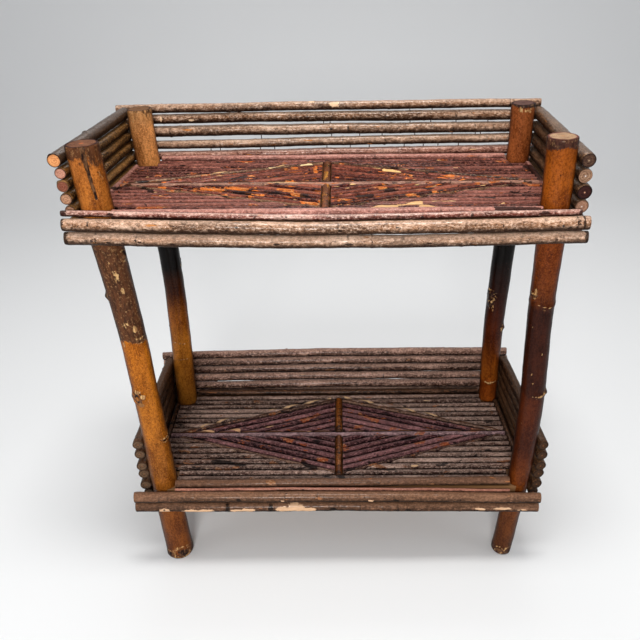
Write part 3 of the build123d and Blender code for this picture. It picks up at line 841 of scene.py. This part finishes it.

# --- Rails, aprons and trims
# Whole shoots with their bark on, sawn to length and nailed outside the poles. The bark is thin,
# glossy under old varnish, and black where side twigs were cut off. Shade is painted dark along
# its underside, and a highlight is painted pale along its crown.


def shoot_bark_group():
    """Thin bark: cloudy colour, fibre streaks, speckle, black blotches, flakes, peeled spots, painted shade
    and highlight.
    """
    tree, given, result = opened("shoot_bark", "ShaderNodeTree", {
        "Grain": "Vector", "Across": "Vector", "Joint": 0.0, "Luck": 0.0, "Peel": 0.0, "Stain": 0.0,
        "Warm": 0.0, "Spot": "Vector", "Patches": 0.0, "Wear": 0.5, "Shine": 0.7, "Bark": "Color",
        # The Wear input is how strong the painted highlight on a twig's crown is.
        "Dark": "Color", "Pale": "Color", "Flake": "Color", "Cream": "Color", "Blotches": 0.5, "Flakes": 0.0,
    }, {"Colour": "Color", "Roughness": "Float", "Gloss": "Float", "Height": "Float"})
    grain, spot = given["Grain"], given["Spot"]
    dark, pale, flake_wood, cream_wood = (given[key] for key in ("Dark", "Pale", "Flake", "Cream"))
    black = paint(26, 20, 19)
    cloud = grain_noise(grain, 12, 60, 4, 0.62)
    streak = grain_noise(grain, 30, 620, 3, 0.62)
    blot = grain_noise(grain, 75, 150, 4, 0.65)
    speck = grain_noise(grain, 300, 560, 3, 0.7)
    spots = grain_noise(grain, 170, 230, 4, 0.7)
    colour = layered(
        mixed(ramp(cloud, 0.38, 0.55), mixed(0.6, given["Bark"], dark), given["Bark"]),
        (cloud, 0.52, 0.7, 0, 0.6, pale), (streak, 0.52, 0.7, 0, 0.35, pale),
        (streak, 0.3, 0.46, 0.4, 0, dark), (spots, 0.54, 0.64, 0, 0.5, pale),
        (spots, 0.36, 0.46, 0.7, 0, dark), (speck, 0.52, 0.64, 0, 0.45, pale),
        (speck, 0.36, 0.48, 0.65, 0, dark),
    )
    tint = given["Luck"] - 0.5
    colour = mixed(calc("MAXIMUM", tint * 0.6, 0), colour, pale)
    colour = mixed(calc("MAXIMUM", tint * -0.8, 0), colour, dark)

    # Flakes are slivers where the outer bark came off along the twig.
    flake = ramp(grain_noise(grain, 26, 190, 3, 0.55) + (given["Flakes"] - 1) * 0.16, 0.55, 0.57)
    flake_colour = mixed(ramp(streak, 0.4, 0.6), mixed(0.35, flake_wood, dark), flake_wood)
    colour = mixed(flake, colour, flake_colour)
    thin = noise(stretched(grain, 34, 260) + (3.7, 9.1, 5.3), 1, 3, 0.55)
    cream = ramp(thin + (given["Flakes"] - 1) * 0.13, 0.61, 0.63)
    colour = mixed(cream, colour, cream_wood)

    reach = blot + given["Joint"] * 0.14 + (given["Blotches"] - 1) * 0.12
    colour = mixed(ramp(reach, 0.59, 0.635) * 0.88, colour, black)
    pore = pitted(grain, 120, 230, 0.18, 0.55)
    colour = mixed(pore * 0.75, colour, black)
    # A joint's crease runs only part of the way round.
    creased = ramp(given["Joint"], 0.8, 0.97) * ramp(blot, 0.44, 0.54)
    colour = mixed(creased * 0.8, colour, black)
    # A highlight is painted pale on the crown of a twig, and shade is painted dark along its underside.
    up = place("ShaderNodeSeparateXYZ", {0: given["Across"]})["Z"] + (spots - 0.5) * 1.1
    crown = ramp(up, 0.35, 0.85) * given["Wear"] * ramp(speck, 0.42, 0.6, 0.5, 1)
    # This near-black is the painted underside shade here, and the colour of the real black stains below.
    shade_and_stain = mixed(0.55, dark, paint(12, 8, 7))
    colour = layered(mixed(crown, colour, pale), (up, -0.55, 0.4, 0.94, 0, shade_and_stain))
    # Orange and black patches run across several twigs of a deck at once.
    rough_edge = (spots - 0.5) * 1.9
    patches = (given["Patches"] - 1) * 0.14
    glow = noise(stretched(spot, 26, 60) + (4.1, 7.7, 2.3), 1, 3, 0.6)
    glow = calc("MAXIMUM", given["Warm"], (glow + patches - 0.585) * 8 + 0.5)
    warm_colour = mixed(ramp(streak, 0.4, 0.6), mixed(0.6, flake_wood, dark), flake_wood)
    warm_colour = mixed(ramp(speck, 0.5, 0.64, 0, 0.5), warm_colour, cream_wood)
    soot = (grain_noise(spot, 24, 56, 3, 0.6) + patches - 0.6) * 8
    stain = calc("MAXIMUM", given["Stain"], soot + 0.5)
    colour = layered(
        colour, (glow + rough_edge, 0.42, 0.6, 0, 0.9, warm_colour),
        (stain + rough_edge, 0.44, 0.56, 0, 0.9, shade_and_stain),
    )

    torn = given["Peel"] + (blot - 0.5) * 1.1 + rough_edge * 0.35
    peeled = ramp(torn, 0.48, 0.52)
    bare = mixed(ramp(streak, 0.36, 0.6, 0.25, 0), cream_wood, flake_wood)
    bare_all = calc("MAXIMUM", peeled, calc("MAXIMUM", flake, cream))
    gloss = ramp(up, 0, 0.6, 0.02, 1) * ramp(speck, 0.36, 0.56, 0.25, 1)
    dips = bare_all * 0.6 + (creased + pore * 0.4)
    fill(result, {
        "Colour": mixed(peeled, colour, bare),
        "Roughness": ramp(speck, 0.34, 0.64, 0.26, 0.48) + bare_all * 0.14,
        "Gloss": gloss * given["Shine"],
        "Height": speck * 1.1 + streak * 0.4 + blot * 0.5 - dips,
    })
    return tree


shoot_bark = shoot_bark_group()


def bark_material(name, look, end_colours, highlight_share, patches=0.0, shine=0.22):
    """One kind of shoot's bark and sawn ends."""
    material, tree, shader = varnished(name, 0.16, 0.05)
    skin = place("ShaderNodeGroup", tree=tree, node_tree=shoot_bark)
    for key in ("Grain", "Across"):
        fill(skin.node.inputs, {key: attribute(tree, key.lower(), "Vector")})
    for key in ("Joint", "Luck", "Peel", "Stain", "Warm"):
        fill(skin.node.inputs, {key: attribute(tree, key.lower())})
    *colours, blotches, flakes = look
    painted(skin.node.inputs, ("Bark", "Dark", "Pale", "Flake", "Cream"), colours)
    fill(skin.node.inputs, {
        "Spot": place("ShaderNodeTexCoord", tree=tree)["Object"], "Blotches": blotches, "Flakes": flakes,
        "Wear": highlight_share, "Patches": patches, "Shine": shine,
    })
    finish_with_ends(tree, shader, skin, end_colours, 3, 0.0009, 0.35)
    return material


# A rail's bark by where the rail is: middle, dark and pale bark, flaked and peeled wood, how
# blotched and how flaked it is.
rail_colours = {
    "tray_back": ((136, 92, 60), (44, 23, 12), (230, 194, 166), (206, 128, 62), (236, 200, 160), 0.35, 0.1),
    "tray_back_apron": (
        (164, 108, 86), (76, 39, 29), (238, 192, 170), (206, 128, 62), (240, 190, 136), 0.2, 0.1),
    "tray_left": ((80, 54, 28), (26, 15, 9), (206, 150, 88), (170, 106, 46), (206, 160, 104), 0.4, 0.2),
    "tray_left_rail_4": ((54, 36, 24), (22, 13, 10), (108, 80, 58), (120, 78, 40), (180, 140, 98), 0.4, 0.1),
    "tray_right": ((84, 56, 36), (30, 18, 12), (164, 126, 94), (170, 106, 46), (206, 160, 104), 0.35, 0.1),
    "tray_front": ((158, 108, 72), (46, 24, 12), (250, 212, 184), (204, 132, 72), (240, 204, 156), 0.5, 0.05),
    "shelf_back": ((74, 38, 22), (13, 5, 2), (232, 186, 164), (176, 112, 62), (214, 172, 124), 0.45, 0.1),
    "shelf_left": ((56, 34, 21), (22, 12, 8), (116, 82, 58), (130, 84, 46), (180, 140, 98), 0.4, 0.1),
    "shelf_right": ((56, 32, 19), (22, 12, 8), (118, 84, 58), (130, 84, 46), (180, 140, 98), 0.4, 0.1),
    "shelf_front": ((46, 22, 10), (11, 5, 2), (162, 118, 90), (180, 118, 74), (226, 184, 146), 0.55, 0.12),
    "tray_trim": ((130, 56, 38), (56, 21, 13), (250, 208, 188), (208, 120, 70), (240, 200, 166), 0.4, 0.1),
    "shelf_trim": ((132, 80, 62), (70, 38, 30), (192, 132, 110), (190, 118, 76), (226, 180, 140), 0.2, 0.1),
}
# The colours of sawn ends: wood, growth ring, rim of bark, pith.
end_colours_by_place = {
    "tray_back": ((120, 82, 60), (84, 54, 40), (50, 32, 24), (206, 170, 140)),
    "tray_left": ((206, 156, 122), (120, 80, 58), (50, 30, 22), (176, 116, 84)),
    "tray_right": ((120, 82, 64), (76, 48, 38), (44, 28, 22), (226, 198, 168)),
    "tray_front": ((206, 124, 52), (110, 60, 30), (40, 24, 20), (90, 44, 24)),
    "shelf_right": ((78, 54, 36), (40, 26, 18), (34, 22, 16), (150, 84, 44)),
    "shelf": ((124, 98, 74), (62, 42, 32), (48, 34, 26), (150, 84, 44)),
}
end_colours_by_rail = {
    "tray_left_rail_4": ((236, 168, 108), (186, 108, 62), (44, 26, 20), (190, 112, 70)),
    "tray_left_rail_3": ((212, 158, 134), (168, 108, 86), (60, 36, 28), (190, 130, 106)),
    "tray_left_rail_2": ((148, 94, 72), (104, 46, 34), (96, 70, 50), (116, 42, 30)),
    "tray_right_rail_4": ((98, 72, 56), (48, 28, 24), (28, 18, 16), (176, 148, 118)),
    "tray_right_rail_3": ((184, 144, 114), (86, 56, 42), (150, 114, 90), (250, 236, 226)),
    "tray_right_rail_2": ((66, 36, 32), (38, 20, 18), (24, 14, 12), (222, 162, 126)),
    "tray_right_rail_1": ((188, 144, 118), (134, 92, 70), (104, 76, 58), (248, 234, 222)),
}


def rail_bark(node):
    """The bark of one rail, apron or trim, with its own sawn ends."""
    tier, side = node.split("_")[:2]
    place_name = f"{tier}_trim" if node.endswith("trim") else f"{tier}_{side}"
    ends = end_colours_by_place.get(f"{tier}_{side}", end_colours_by_place["shelf"])
    look = rail_colours.get(node, rail_colours[place_name])
    # How strong the painted highlight on the crown is.
    highlight_share = 0.5 if node.endswith("trim") or tier == "shelf" else 0.4
    shine = 0.6 if tier == "tray" else 0.3
    return bark_material(f"{node}_bark", look, end_colours_by_rail.get(node, ends), highlight_share, shine=shine)


unmarked, full_mark = -0.5, 1.15  # a mark's values far from every patch and in the middle of one


def marked(piece, name, patches):
    """Marks patches of a rail: each is (x, height above the axis, length, width)."""
    mesh = piece.data
    points, across = rows(mesh.vertices, "co"), rows(mesh.attributes["across"].data, "vector")
    mark = np.full(len(points), unmarked)
    for x, up, length, width in patches:
        away = np.hypot((points[:, 0] - x) / length, (across[:, 2] - up) / width)
        away = np.where(across[:, 1] < 0.35, away, 3)  # not on the rail's back
        mark = np.maximum(mark, full_mark - away)
    noted(mesh, name, mark)


# Where a rail's bark has come off down to the wood.
peeled_patches = {
    "shelf_front_rail_bottom": [
        (-0.2715, -0.2, 0.015, 0.8), (-0.228, -0.3, 0.022, 0.7), (-0.206, -0.2, 0.024, 0.6),
        (-0.155, -0.2, 0.020, 0.6), (-0.138, -0.1, 0.020, 0.7), (-0.082, 0.1, 0.018, 0.9),
        (-0.060, 0.2, 0.024, 1.2), (-0.040, -0.1, 0.020, 0.8), (0.235, 0.2, 0.014, 0.4),
        (0.27, 0.3, 0.02, 0.4), (0.30, 0.1, 0.014, 0.3)],
    "shelf_front_rail_top": [(0.06, -0.1, 0.008, 0.3), (-0.08, -0.1, 0.006, 0.3)],
    "tray_back_rail_4": [(0.012, 0.35, 0.013, 0.75), (-0.022, 0.9, 0.008, 0.3)],
    "tray_back_rail_3": [(-0.256, 0.1, 0.003, 1.1), (-0.209, -0.1, 0.009, 0.35)],
}

# Dark ends and spots, measured like the peeled patches.
stained_patches = {
    "tray_front_rail_top": [
        (-0.330, 0.2, 0.009, 3), (0.310, 0.4, 0.0025, 2), (0.317, 0.2, 0.0025, 2),
        (-0.12, -0.1, 0.004, 0.3), (0.02, 0.0, 0.005, 0.3), (0.09, 0.3, 0.003, 0.2)],
    "tray_front_rail_bottom": [
        (-0.326, 0.0, 0.007, 3), (-0.270, -0.2, 0.005, 0.3), (-0.231, 0.0, 0.004, 0.3),
        (-0.19, -0.2, 0.007, 0.3), (-0.06, 0.0, 0.006, 0.3), (0.03, -0.1, 0.009, 0.3),
        (0.13, 0.0, 0.005, 0.3), (0.325, 0.0, 0.005, 3)],
    "tray_front_trim": [
        (-0.326, 0, 0.008, 3), (-0.265, 0.2, 0.008, 0.6), (0.27, 0.2, 0.012, 0.6), (0.316, 0, 0.007, 2)],
    "shelf_front_rail_top": [(-0.15, 0.1, 0.006, 0.5), (0.10, 0.0, 0.008, 0.4), (0.2, 0.2, 0.005, 0.4)],
    "shelf_front_rail_bottom": [
        (-0.17, 0, 0.006, 2), (-0.10, -0.1, 0.006, 2), (0.0, 0.1, 0.01, 0.5), (0.12, 0, 0.008, 0.5)],
}

rails = sorted(name for name in solid if "_rail_" in name or name.endswith(("_apron", "_trim")))
for count, rail in enumerate(rails):
    thin = rail.endswith("_trim")
    long = "_front_" in rail or "_back_" in rail
    lines = [(ring_stations(corner_points),) for corner_points, _ in separate_solids(rail)]
    piece = grown(
        f"{rail}_grown", round_shoot, lines, step=0.003, sides=14 if thin else 22, slimming=0.995,
        waver=0.0015 if long else 0.0009, joint_spacing=0.115, joint_width=0.003, joint_swell=0.03,
        bud_height=0.0006 if thin else 0.0016, lump_height=0.0003 if thin else 0.0006, lump_size=0.012,
        saw_slant=0.12, edge_wear=0.0005, seed=20 + count * 1.37, material=rail_bark(rail),
    )
    if rail in peeled_patches:
        marked(piece, "peel", peeled_patches[rail])
    if rail in stained_patches:
        marked(piece, "stain", stained_patches[rail])
    kept_within(piece, rail)
    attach(piece, "root")
    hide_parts(rail)

# --- Facing twigs
# The decks are faced with twigs split along their middle and nailed flat side down: rows from left
# to right, and dark red ones laid slantwise in the four quarters of a long diamond. The bark is on,
# purple to red-brown, and it has flaked to orange and cream in places.


def split_tree():
    """Makes split twigs on straight lines: rounded backs, flat undersides and slanting cut ends."""
    bends, ripple_share = 22, 0.16
    joint_unevenness, lump_middle, least_length = 0.8, 0.62, 0.0001
    tree, given, result = opened("split_twig", "GeometryNodeTree", {
        "Geometry": "Geometry", "Step": 0.004, "Facets": 8, "Height": 0.007, "Joint Spacing": 0.06,
        "Joint Width": 0.003, "Joint Swell": 0.1, "Lump Height": 0.0006, "Lump Size": 0.01, "Seed": 0.0,
        "Material": "Material",
    }, {"Geometry": "Geometry"})
    line = place("GeometryNodeMeshToCurve", {"Mesh": given["Geometry"]})["Curve"]
    line, length, total = resampled(tree, line, given["Step"])
    luck = own_luck(tree, given, 5.77)
    shift = luck * 30
    joint, _ = joints_along(given, length, shift, joint_unevenness)
    drift = place("ShaderNodeCombineXYZ", {"X": length * bends, "Y": shift})[0]
    size = 0.97 + (noise(drift) - 0.5) * ripple_share
    kept = captured(
        line, centre=place("GeometryNodeInputPosition", tree=tree)[0],
        tangent=place("GeometryNodeInputTangent", tree=tree)["Tangent"], length=length, total=total,
        size=size, joint=joint, luck=luck,
    )
    half = place("GeometryNodeCurveArc", {
        "Resolution": given["Facets"] + 1, "Radius": 1.0, "Start Angle": 0.0, "Sweep Angle": pi,
        "Connect Center": True,
    })
    shape = captured(half["Curve"], spot=place("GeometryNodeInputPosition", tree=tree)[0])
    body = place("GeometryNodeCurveToMesh", {
        "Curve": kept["Geometry"], "Profile Curve": shape["Geometry"], "Scale": 0.005, "Fill Caps": True,
    })["Mesh"]

    # Each corner's place: along the twig between its two slanting cuts, to the side, and up.
    spot = place("ShaderNodeSeparateXYZ", {0: shape["spot"]})
    up_way = named(tree, "up_way", "FLOAT_VECTOR")
    side_way = vector_calc("NORMALIZE", vector_calc("CROSS_PRODUCT", up_way, kept["tangent"]))
    aside = spot["X"] * (named(tree, "thickness") * kept["size"])
    rise = spot["Y"] * given["Height"] * kept["size"] * (1 + kept["joint"] * given["Joint Swell"])

    def cut(name):
        slope = place("ShaderNodeSeparateXYZ", {0: named(tree, name, "FLOAT_VECTOR")})
        return slope["X"] + slope["Y"] * aside

    head = calc("MAXIMUM", cut("head_cut"), cut("head_cut_too"))
    tail = calc("MINIMUM", cut("tail_cut"), cut("tail_cut_too"))
    tail = calc("MAXIMUM", tail, head + least_length)
    along = head + (tail - head) * (kept["length"] / kept["total"])
    forward = scaled(kept["tangent"], along - kept["length"])
    lump_at = place("ShaderNodeCombineXYZ", {
        "X": along / given["Lump Size"] + kept["luck"] * 57, "Y": aside / (given["Lump Size"] * 0.4),
    })[0]
    lump = (noise(lump_at, detail=3) - lump_middle) * 2 * given["Lump Height"] * spot["Y"]
    target = kept["centre"] + forward + (scaled(side_way, aside) + scaled(up_way, rise + lump))
    body = place("GeometryNodeSetPosition", {"Geometry": body, "Position": target})[0]

    grain = place("ShaderNodeCombineXYZ", {"X": along + kept["luck"] * 9, "Y": aside, "Z": rise})[0]
    # The height from edge to crown, which the bark reads for its painted shade at the edges and its painted
    # highlight on the crown.
    across = place("ShaderNodeCombineXYZ", {"X": spot["X"], "Z": spot["Y"] * 1.6 - 0.8})[0]
    put_out_shoots(tree, body, kept, grain, across, given, result)
    return tree


split_twig = split_tree()


def split_line(corner_points, walls):
    """A split twig's centre line, half width, and the slanting cuts at its ends, from its solid."""
    up = -next(normal for normal, _, _ in walls if normal[2] < -0.9)
    lying = [(normal, area) for normal, _, area in walls]
    along = None
    for _ in range(3):
        spread = sum(area * np.outer(normal, normal) for normal, area in lying)
        along = np.linalg.eigh(spread)[1][:, 0]
        lying = [(normal, area) for normal, area in lying if abs(normal @ along) < 0.05]
    side = np.cross(up, along)
    side /= np.linalg.norm(side)
    aside = corner_points @ side
    floor_height = (corner_points @ up).min()
    ahead = corner_points @ along
    start = along * ahead.min() + side * (aside.min() + aside.max()) / 2 + up * floor_height
    length = ahead.max() - ahead.min()
    heads, tails = set(), set()
    for normal, point, _ in walls:
        facing = normal @ along
        if abs(facing) > 0.05:
            cut = (round((point - start) @ normal / facing, 6), round(-(side @ normal) / facing, 4))
            (tails if facing > 0 else heads).add(cut)
    heads, tails = sorted(heads), sorted(tails)
    facts = {
        "up_way": up,
        "head_cut": (*heads[0], 0), "head_cut_too": (*heads[-1], 0),
        "tail_cut": (*tails[0], 0), "tail_cut_too": (*tails[-1], 0),
    }
    half = (aside.max() - aside.min()) / 2
    return [(start, half), (start + along * length, half)], facts


# Each kind of twig's bark: middle, dark and pale bark, flaked and peeled wood, how blotched and how
# flaked it is, how strong the painted highlight on its crown is, and how far the orange and black
# patches reach.
facing_colours = {
    "tray_field": (
        (64, 17, 13), (15, 5, 4), (190, 122, 104), (196, 98, 46), (236, 190, 132), 0.5, 0.3, 0.25, 0.5),
    "shelf_field": (
        (84, 54, 43), (22, 12, 9), (214, 180, 162), (146, 88, 56), (206, 168, 128), 0.5, 0.25, 0.3, 0.5),
    "tray_border": (
        (122, 56, 44), (42, 16, 12), (222, 162, 144), (196, 110, 64), (240, 200, 156), 0.3, 0.15, 0.5, 0.1),
    "shelf_border": (
        (46, 25, 14), (13, 6, 4), (142, 102, 78), (170, 108, 66), (214, 176, 132), 0.5, 0.15, 0.3, 0.1),
    "tray_diamond": (
        (68, 16, 12), (14, 5, 5), (184, 106, 82), (236, 122, 44), (240, 196, 130), 0.7, 0.4, 0.1, 0.7),
    "shelf_diamond": (
        (52, 14, 19), (16, 6, 9), (190, 134, 132), (168, 82, 44), (214, 168, 124), 0.4, 0.3, 0.2, 0.55),
    "tray_long": (
        (90, 38, 30), (30, 14, 13), (212, 160, 134), (220, 112, 44), (238, 196, 140), 0.8, 0.4, 0.2, 0.7),
    "shelf_long": (
        (54, 18, 25), (18, 7, 10), (222, 180, 180), (160, 84, 52), (214, 176, 140), 0.6, 0.2, 0.3, 0.6),
    "tray_cross": (
        (92, 38, 26), (28, 13, 11), (176, 108, 68), (226, 146, 50), (236, 190, 112), 0.9, 0.6, 0.1, 1.0),
    "shelf_cross": (
        (110, 54, 16), (44, 22, 12), (170, 98, 38), (150, 78, 26), (216, 160, 96), 0.8, 0.2, 0.1, 0.8),
    "tray_strip": (
        (66, 32, 26), (28, 14, 14), (196, 150, 112), (196, 100, 44), (246, 216, 160), 0.7, 0.4, 0.12, 0.8),
    "shelf_strip": (
        (56, 30, 28), (24, 13, 15), (180, 140, 116), (150, 84, 48), (226, 190, 140), 0.5, 0.3, 0.12, 0.7),
}
dark_ends = ((120, 84, 64), (84, 56, 44), (50, 32, 28), (96, 66, 52))
facing_barks = {
    kind: bark_material(f"{kind}_bark", look, dark_ends, highlight_share, patches)
    for kind, (*look, highlight_share, patches) in facing_colours.items()
}

# Patches on the decks that stand out, each along a line (x, y to x, y) with a width, in millimetres:
# bark peeled to pale wood, bark flaked to orange, and black patches.
deck_patches = {
    "tray": {
        "peel": [
            (45, -107, 88, -94, 7), (84, -96, 124, -85, 10), (125, -97, 158, -106, 8),
            (185, -106, 210, -105, 8), (142, -79, 169, -79, 7), (-88, 70, -60, 84, 5),
            (-290, 30, -262, 36, 3.5), (-206, 41, -140, 55, 3), (86, 57, 107, 48, 6),
            (-39, 83, -22, 89, 3.5), (224, -93, 232, -87, 6), (30, 85, 80, 62, 3), (-83, 2, -43, 0, 4)],
        "warm": [
            (-178, -27, -110, -22, 14), (-57, -24, -33, -56, 12), (-30, -77, -12, -86, 9),
            (-240, -96, -205, -93, 8), (-56, 8, -26, 4, 9), (62, -21, 95, -26, 7), (-17, 72, -16, 50, 6),
            (-236, -17, -226, -16, 7), (-53, -89, -44, -91, 7), (1, 46, -1, 22, 6), (220, 20, 236, 16, 8),
            (112, -55, 124, -56, 8)],
        "stain": [
            (-330, 130, -318, 20, 12), (300, 70, 312, -20, 14), (-300, -18, -280, -4, 10),
            (-81, 26, -56, 34, 7), (75, -34, 92, -34, 9), (-138, 20, -118, 30, 8),
            (-256, -16, -240, -34, 8), (-146, 43, -122, 50, 8), (44, -60, 63, -55, 8),
            (200, -66, 222, -66, 8), (-290, -92, -255, -92, 9), (215, -125, 285, -130, 9),
            (-124, -36, -104, -44, 8), (-30, -52, -22, -62, 8)],
    },
    "shelf": {
        "peel": [
            (-191, 13, -169, 11, 6), (20, 106, 94, 82, 3), (-5, 104, -121, 66, 3), (-235, 7, -215, 8, 5),
            (-121, 17, -109, 21, 4), (130, -84, 140, -84, 3), (120, 72, 200, 44, 2.5),
            (-190, 45, -240, 22, 3)],
        "warm": [
            (48, 53, 78, 34, 9), (-28, 52, -56, 37, 10), (8, -56, 9, -78, 9), (10, 60, 9, 28, 10),
            (-24, -68, -12, -67, 8), (142, -30, 155, -25, 8), (42, 18, 50, 18, 7), (-241, 19, -232, 19, 6),
            (185, -32, 197, -29, 7)],
        "stain": [
            (6, 6, 18, 6, 10), (8, -100, 16, -115, 12), (-50, -75, -30, -90, 10), (120, -18, 140, -12, 10),
            (-200, -70, -150, -80, 10), (70, -90, 100, -92, 8)],
    },
}


def patched(piece, patches):
    """Marks a facing's patches in attributes of their names."""
    flat = rows(piece.data.vertices, "co")[:, :2]
    for name, lines in patches.items():
        mark = np.full(len(flat), unmarked)
        for x, y, to_x, to_y, width in np.array(lines) / 1000:
            start, span = np.array((x, y)), np.array((to_x - x, to_y - y))
            share = np.clip((flat - start) @ span / (span @ span), 0, 1)
            away = np.linalg.norm(flat - start - share[:, None] * span, axis=1)
            mark = np.maximum(mark, full_mark - 0.67 * away / (width / 2))
        noted(piece.data, name, mark)


facings = [
    f"{tier}_{kind}" for kind in ("border_twigs", "field_twigs", "long_twig", "cross_twigs")
    for tier in ("tray", "shelf")]
facings += [f"{tier}_diamond_{half}_twigs" for tier in ("tray", "shelf") for half in ("left", "right")]
least_flat = 0.7 * 0.005  # a solid whose flat underside is narrower on average is a whole twig
strip_half_width = 0.0034  # at most, a strip along the diamond's edge
for count, facing in enumerate(facings):
    tier, kind = facing.split("_")[:2]
    bark, strip_bark = facing_barks[f"{tier}_{kind}"], facing_barks[f"{tier}_strip"]
    whole, split, strips = [], [], []
    for corner_points, walls in separate_solids(facing):
        flat_area = sum(area for normal, _, area in walls if normal[2] < -0.98)
        length = np.linalg.norm(np.ptp(corner_points, axis=0)[:2])
        if flat_area > length * least_flat:
            line = split_line(corner_points, walls)
            (strips if kind == "diamond" and line[0][0][1] < strip_half_width else split).append(line)
        else:
            whole.append((ring_stations(corner_points),))
    pieces = []
    for part, lines, skin_bark in (("grown", split, bark), ("strips_grown", strips, strip_bark)):
        if lines:
            pieces.append(grown(
                f"{facing}_{part}", split_twig, lines, step=0.004, facets=8, height=0.0068,
                joint_spacing=0.07, joint_swell=0.08, lump_height=0.0009, lump_size=0.011,
                seed=70 + count * 2.3, material=skin_bark))
    if whole:
        pieces.append(grown(
            f"{facing}_whole_grown", round_shoot, whole, step=0.003, sides=18, slimming=0.995, waver=0.0007,
            joint_spacing=0.105, joint_width=0.003, joint_swell=0.05, bud_height=0.0008,
            lump_height=0.0005, lump_size=0.012, saw_slant=0.05, edge_wear=0.0004,
            seed=90 + count * 2.3, material=bark))
    for piece in pieces:
        kept_within(piece, facing)
        patched(piece, deck_patches[tier])
        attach(piece, "root")
        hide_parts(facing)

# --- Nails
# Thin dark iron nails hold it all. Some run upright through the tray's back rails and show in the
# daylight between them. Where rails cross the poles, only the small round heads show.


def nail_tree():
    """Sets shanks and heads on points, each turned and scaled by its own facts."""
    thickest_shank = 0.0015
    tree, given, result = opened("nails", "GeometryNodeTree", {
        "Geometry": "Geometry", "Shank Sides": 8, "Head Sides": 10, "Head Rings": 6, "Material": "Material",
    }, {"Geometry": "Geometry"})
    way = {"Vector": named(tree, "way", "FLOAT_VECTOR")}
    turn = place("FunctionNodeAlignRotationToVector", way, axis="Z")
    size = named(tree, "size", "FLOAT_VECTOR")
    is_head = calc("GREATER_THAN", named(tree, "thickness"), thickest_shank)
    sides = {"Vertices": given["Shank Sides"], "Radius": 1.0, "Depth": 1.0}
    shank = place("GeometryNodeMeshCylinder", sides)
    rings = {"Segments": given["Head Sides"], "Rings": given["Head Rings"], "Radius": 1.0}
    head = place("GeometryNodeMeshUVSphere", rings)
    joined = place("GeometryNodeJoinGeometry", tree=tree)
    for shape, chosen in ((head, is_head), (shank, 1 - is_head)):
        set_out = place("GeometryNodeInstanceOnPoints", {
            "Points": given["Geometry"], "Selection": chosen, "Instance": shape["Mesh"],
            "Rotation": turn["Rotation"], "Scale": size,
        })
        fill(joined.node.inputs, {"Geometry": set_out["Instances"]})
    put_out(joined["Geometry"], given, result)
    return tree


def iron_material():
    """Old iron, nearly black, browned here and there."""
    material, shader = new_material("nail_iron")
    rust = noise(place("ShaderNodeTexCoord", tree=material.node_tree)["Object"], 700, 3)
    fill(shader.inputs, {
        "Base Color": mixed(ramp(rust, 0.45, 0.6), paint(48, 44, 42), paint(96, 62, 44)),
        "Roughness": ramp(rust, 0.4, 0.6, 0.35, 0.6), "Metallic": 0.7,
    })
    return material


def ring_at(stations, axis, reach):
    """The centre and radius of a round solid where it has come so far along one axis."""
    stations = sorted(stations, key=lambda station: station[0][axis])
    along = [centre[axis] for centre, _ in stations]
    centre = [np.interp(reach, along, [centre[way] for centre, _ in stations]) for way in range(3)]
    return np.array(centre), np.interp(reach, along, [radius for _, radius in stations])


def nail(point, way, length, radius=0.0007):
    """One nail's shank, or its head, centred on a point."""
    return [(point, radius)], {"way": way, "size": (radius, radius, length)}


nails = []
# Places along X of the upright nails, under each back rail of the tray from the top one down.
upright_nails = {
    ("tray_back_rail_4", "tray_back_rail_3"): (0.129, 0.163),
    ("tray_back_rail_3", "tray_back_rail_2"): (-0.004, 0.006, 0.130, 0.162, 0.201, 0.250),
    ("tray_back_rail_2", "tray_back_rail_1"): (-0.103, 0.008, 0.052, 0.087, 0.138, 0.196, 0.232, 0.240),
}
hold = 0.004  # how far a nail goes into the wood above and below a gap
for (upper, lower), places in upright_nails.items():
    for x in places:
        above, above_radius = ring_at(rings_of(upper), 0, x)
        below, below_radius = ring_at(rings_of(lower), 0, x)
        gap_top, gap_foot = above[2] - above_radius, below[2] + below_radius
        middle = (above + below) / 2
        middle[2] = (gap_top + gap_foot) / 2
        nails.append(nail(middle, (0, 0, 1), gap_top - gap_foot + 2 * hold))
lowest_reach = 0.016  # from the lowest rail down into the deck's edge
for x in (-0.185, -0.170, -0.106, -0.083, 0.0, 0.037, 0.067, 0.122, 0.152, 0.175, 0.207):
    above, above_radius = ring_at(rings_of("tray_back_rail_1"), 0, x)
    middle = above - (0, 0, above_radius + lowest_reach / 2 - 0.003)
    nails.append(nail(middle, (0, 0, 1), lowest_reach))

head_radius, head_height, head_aside = 0.0019, 0.0007, 0.004
outward = {"front": (0, -1, 0), "back": (0, 1, 0), "left": (-1, 0, 0), "right": (1, 0, 0)}
for rail in rails:
    if rail.endswith("_trim"):
        continue
    side = rail.split("_")[1]
    axis = 0 if side in ("front", "back") else 1
    out = np.array(outward[side], float)
    for number, (corner_points, _) in enumerate(separate_solids(rail)):
        stations = ring_stations(corner_points)
        height = np.mean([centre for centre, _ in stations], axis=0)[2]
        for pole in pole_looks:
            if side in pole:
                pole_centre, _ = ring_at(rings_of(pole), 2, height)
                reach = pole_centre[axis] + head_aside * sin(5 * number + 11 * height * 40)
                centre, radius = ring_at(stations, axis, reach)
                nails.append(nail(centre + out * (radius - head_height), out, head_height, head_radius))

nail_piece = grown(
    "nails_grown", nail_tree(), nails, shank_sides=8, head_sides=10, head_rings=6, material=iron_material())
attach(nail_piece, "root")
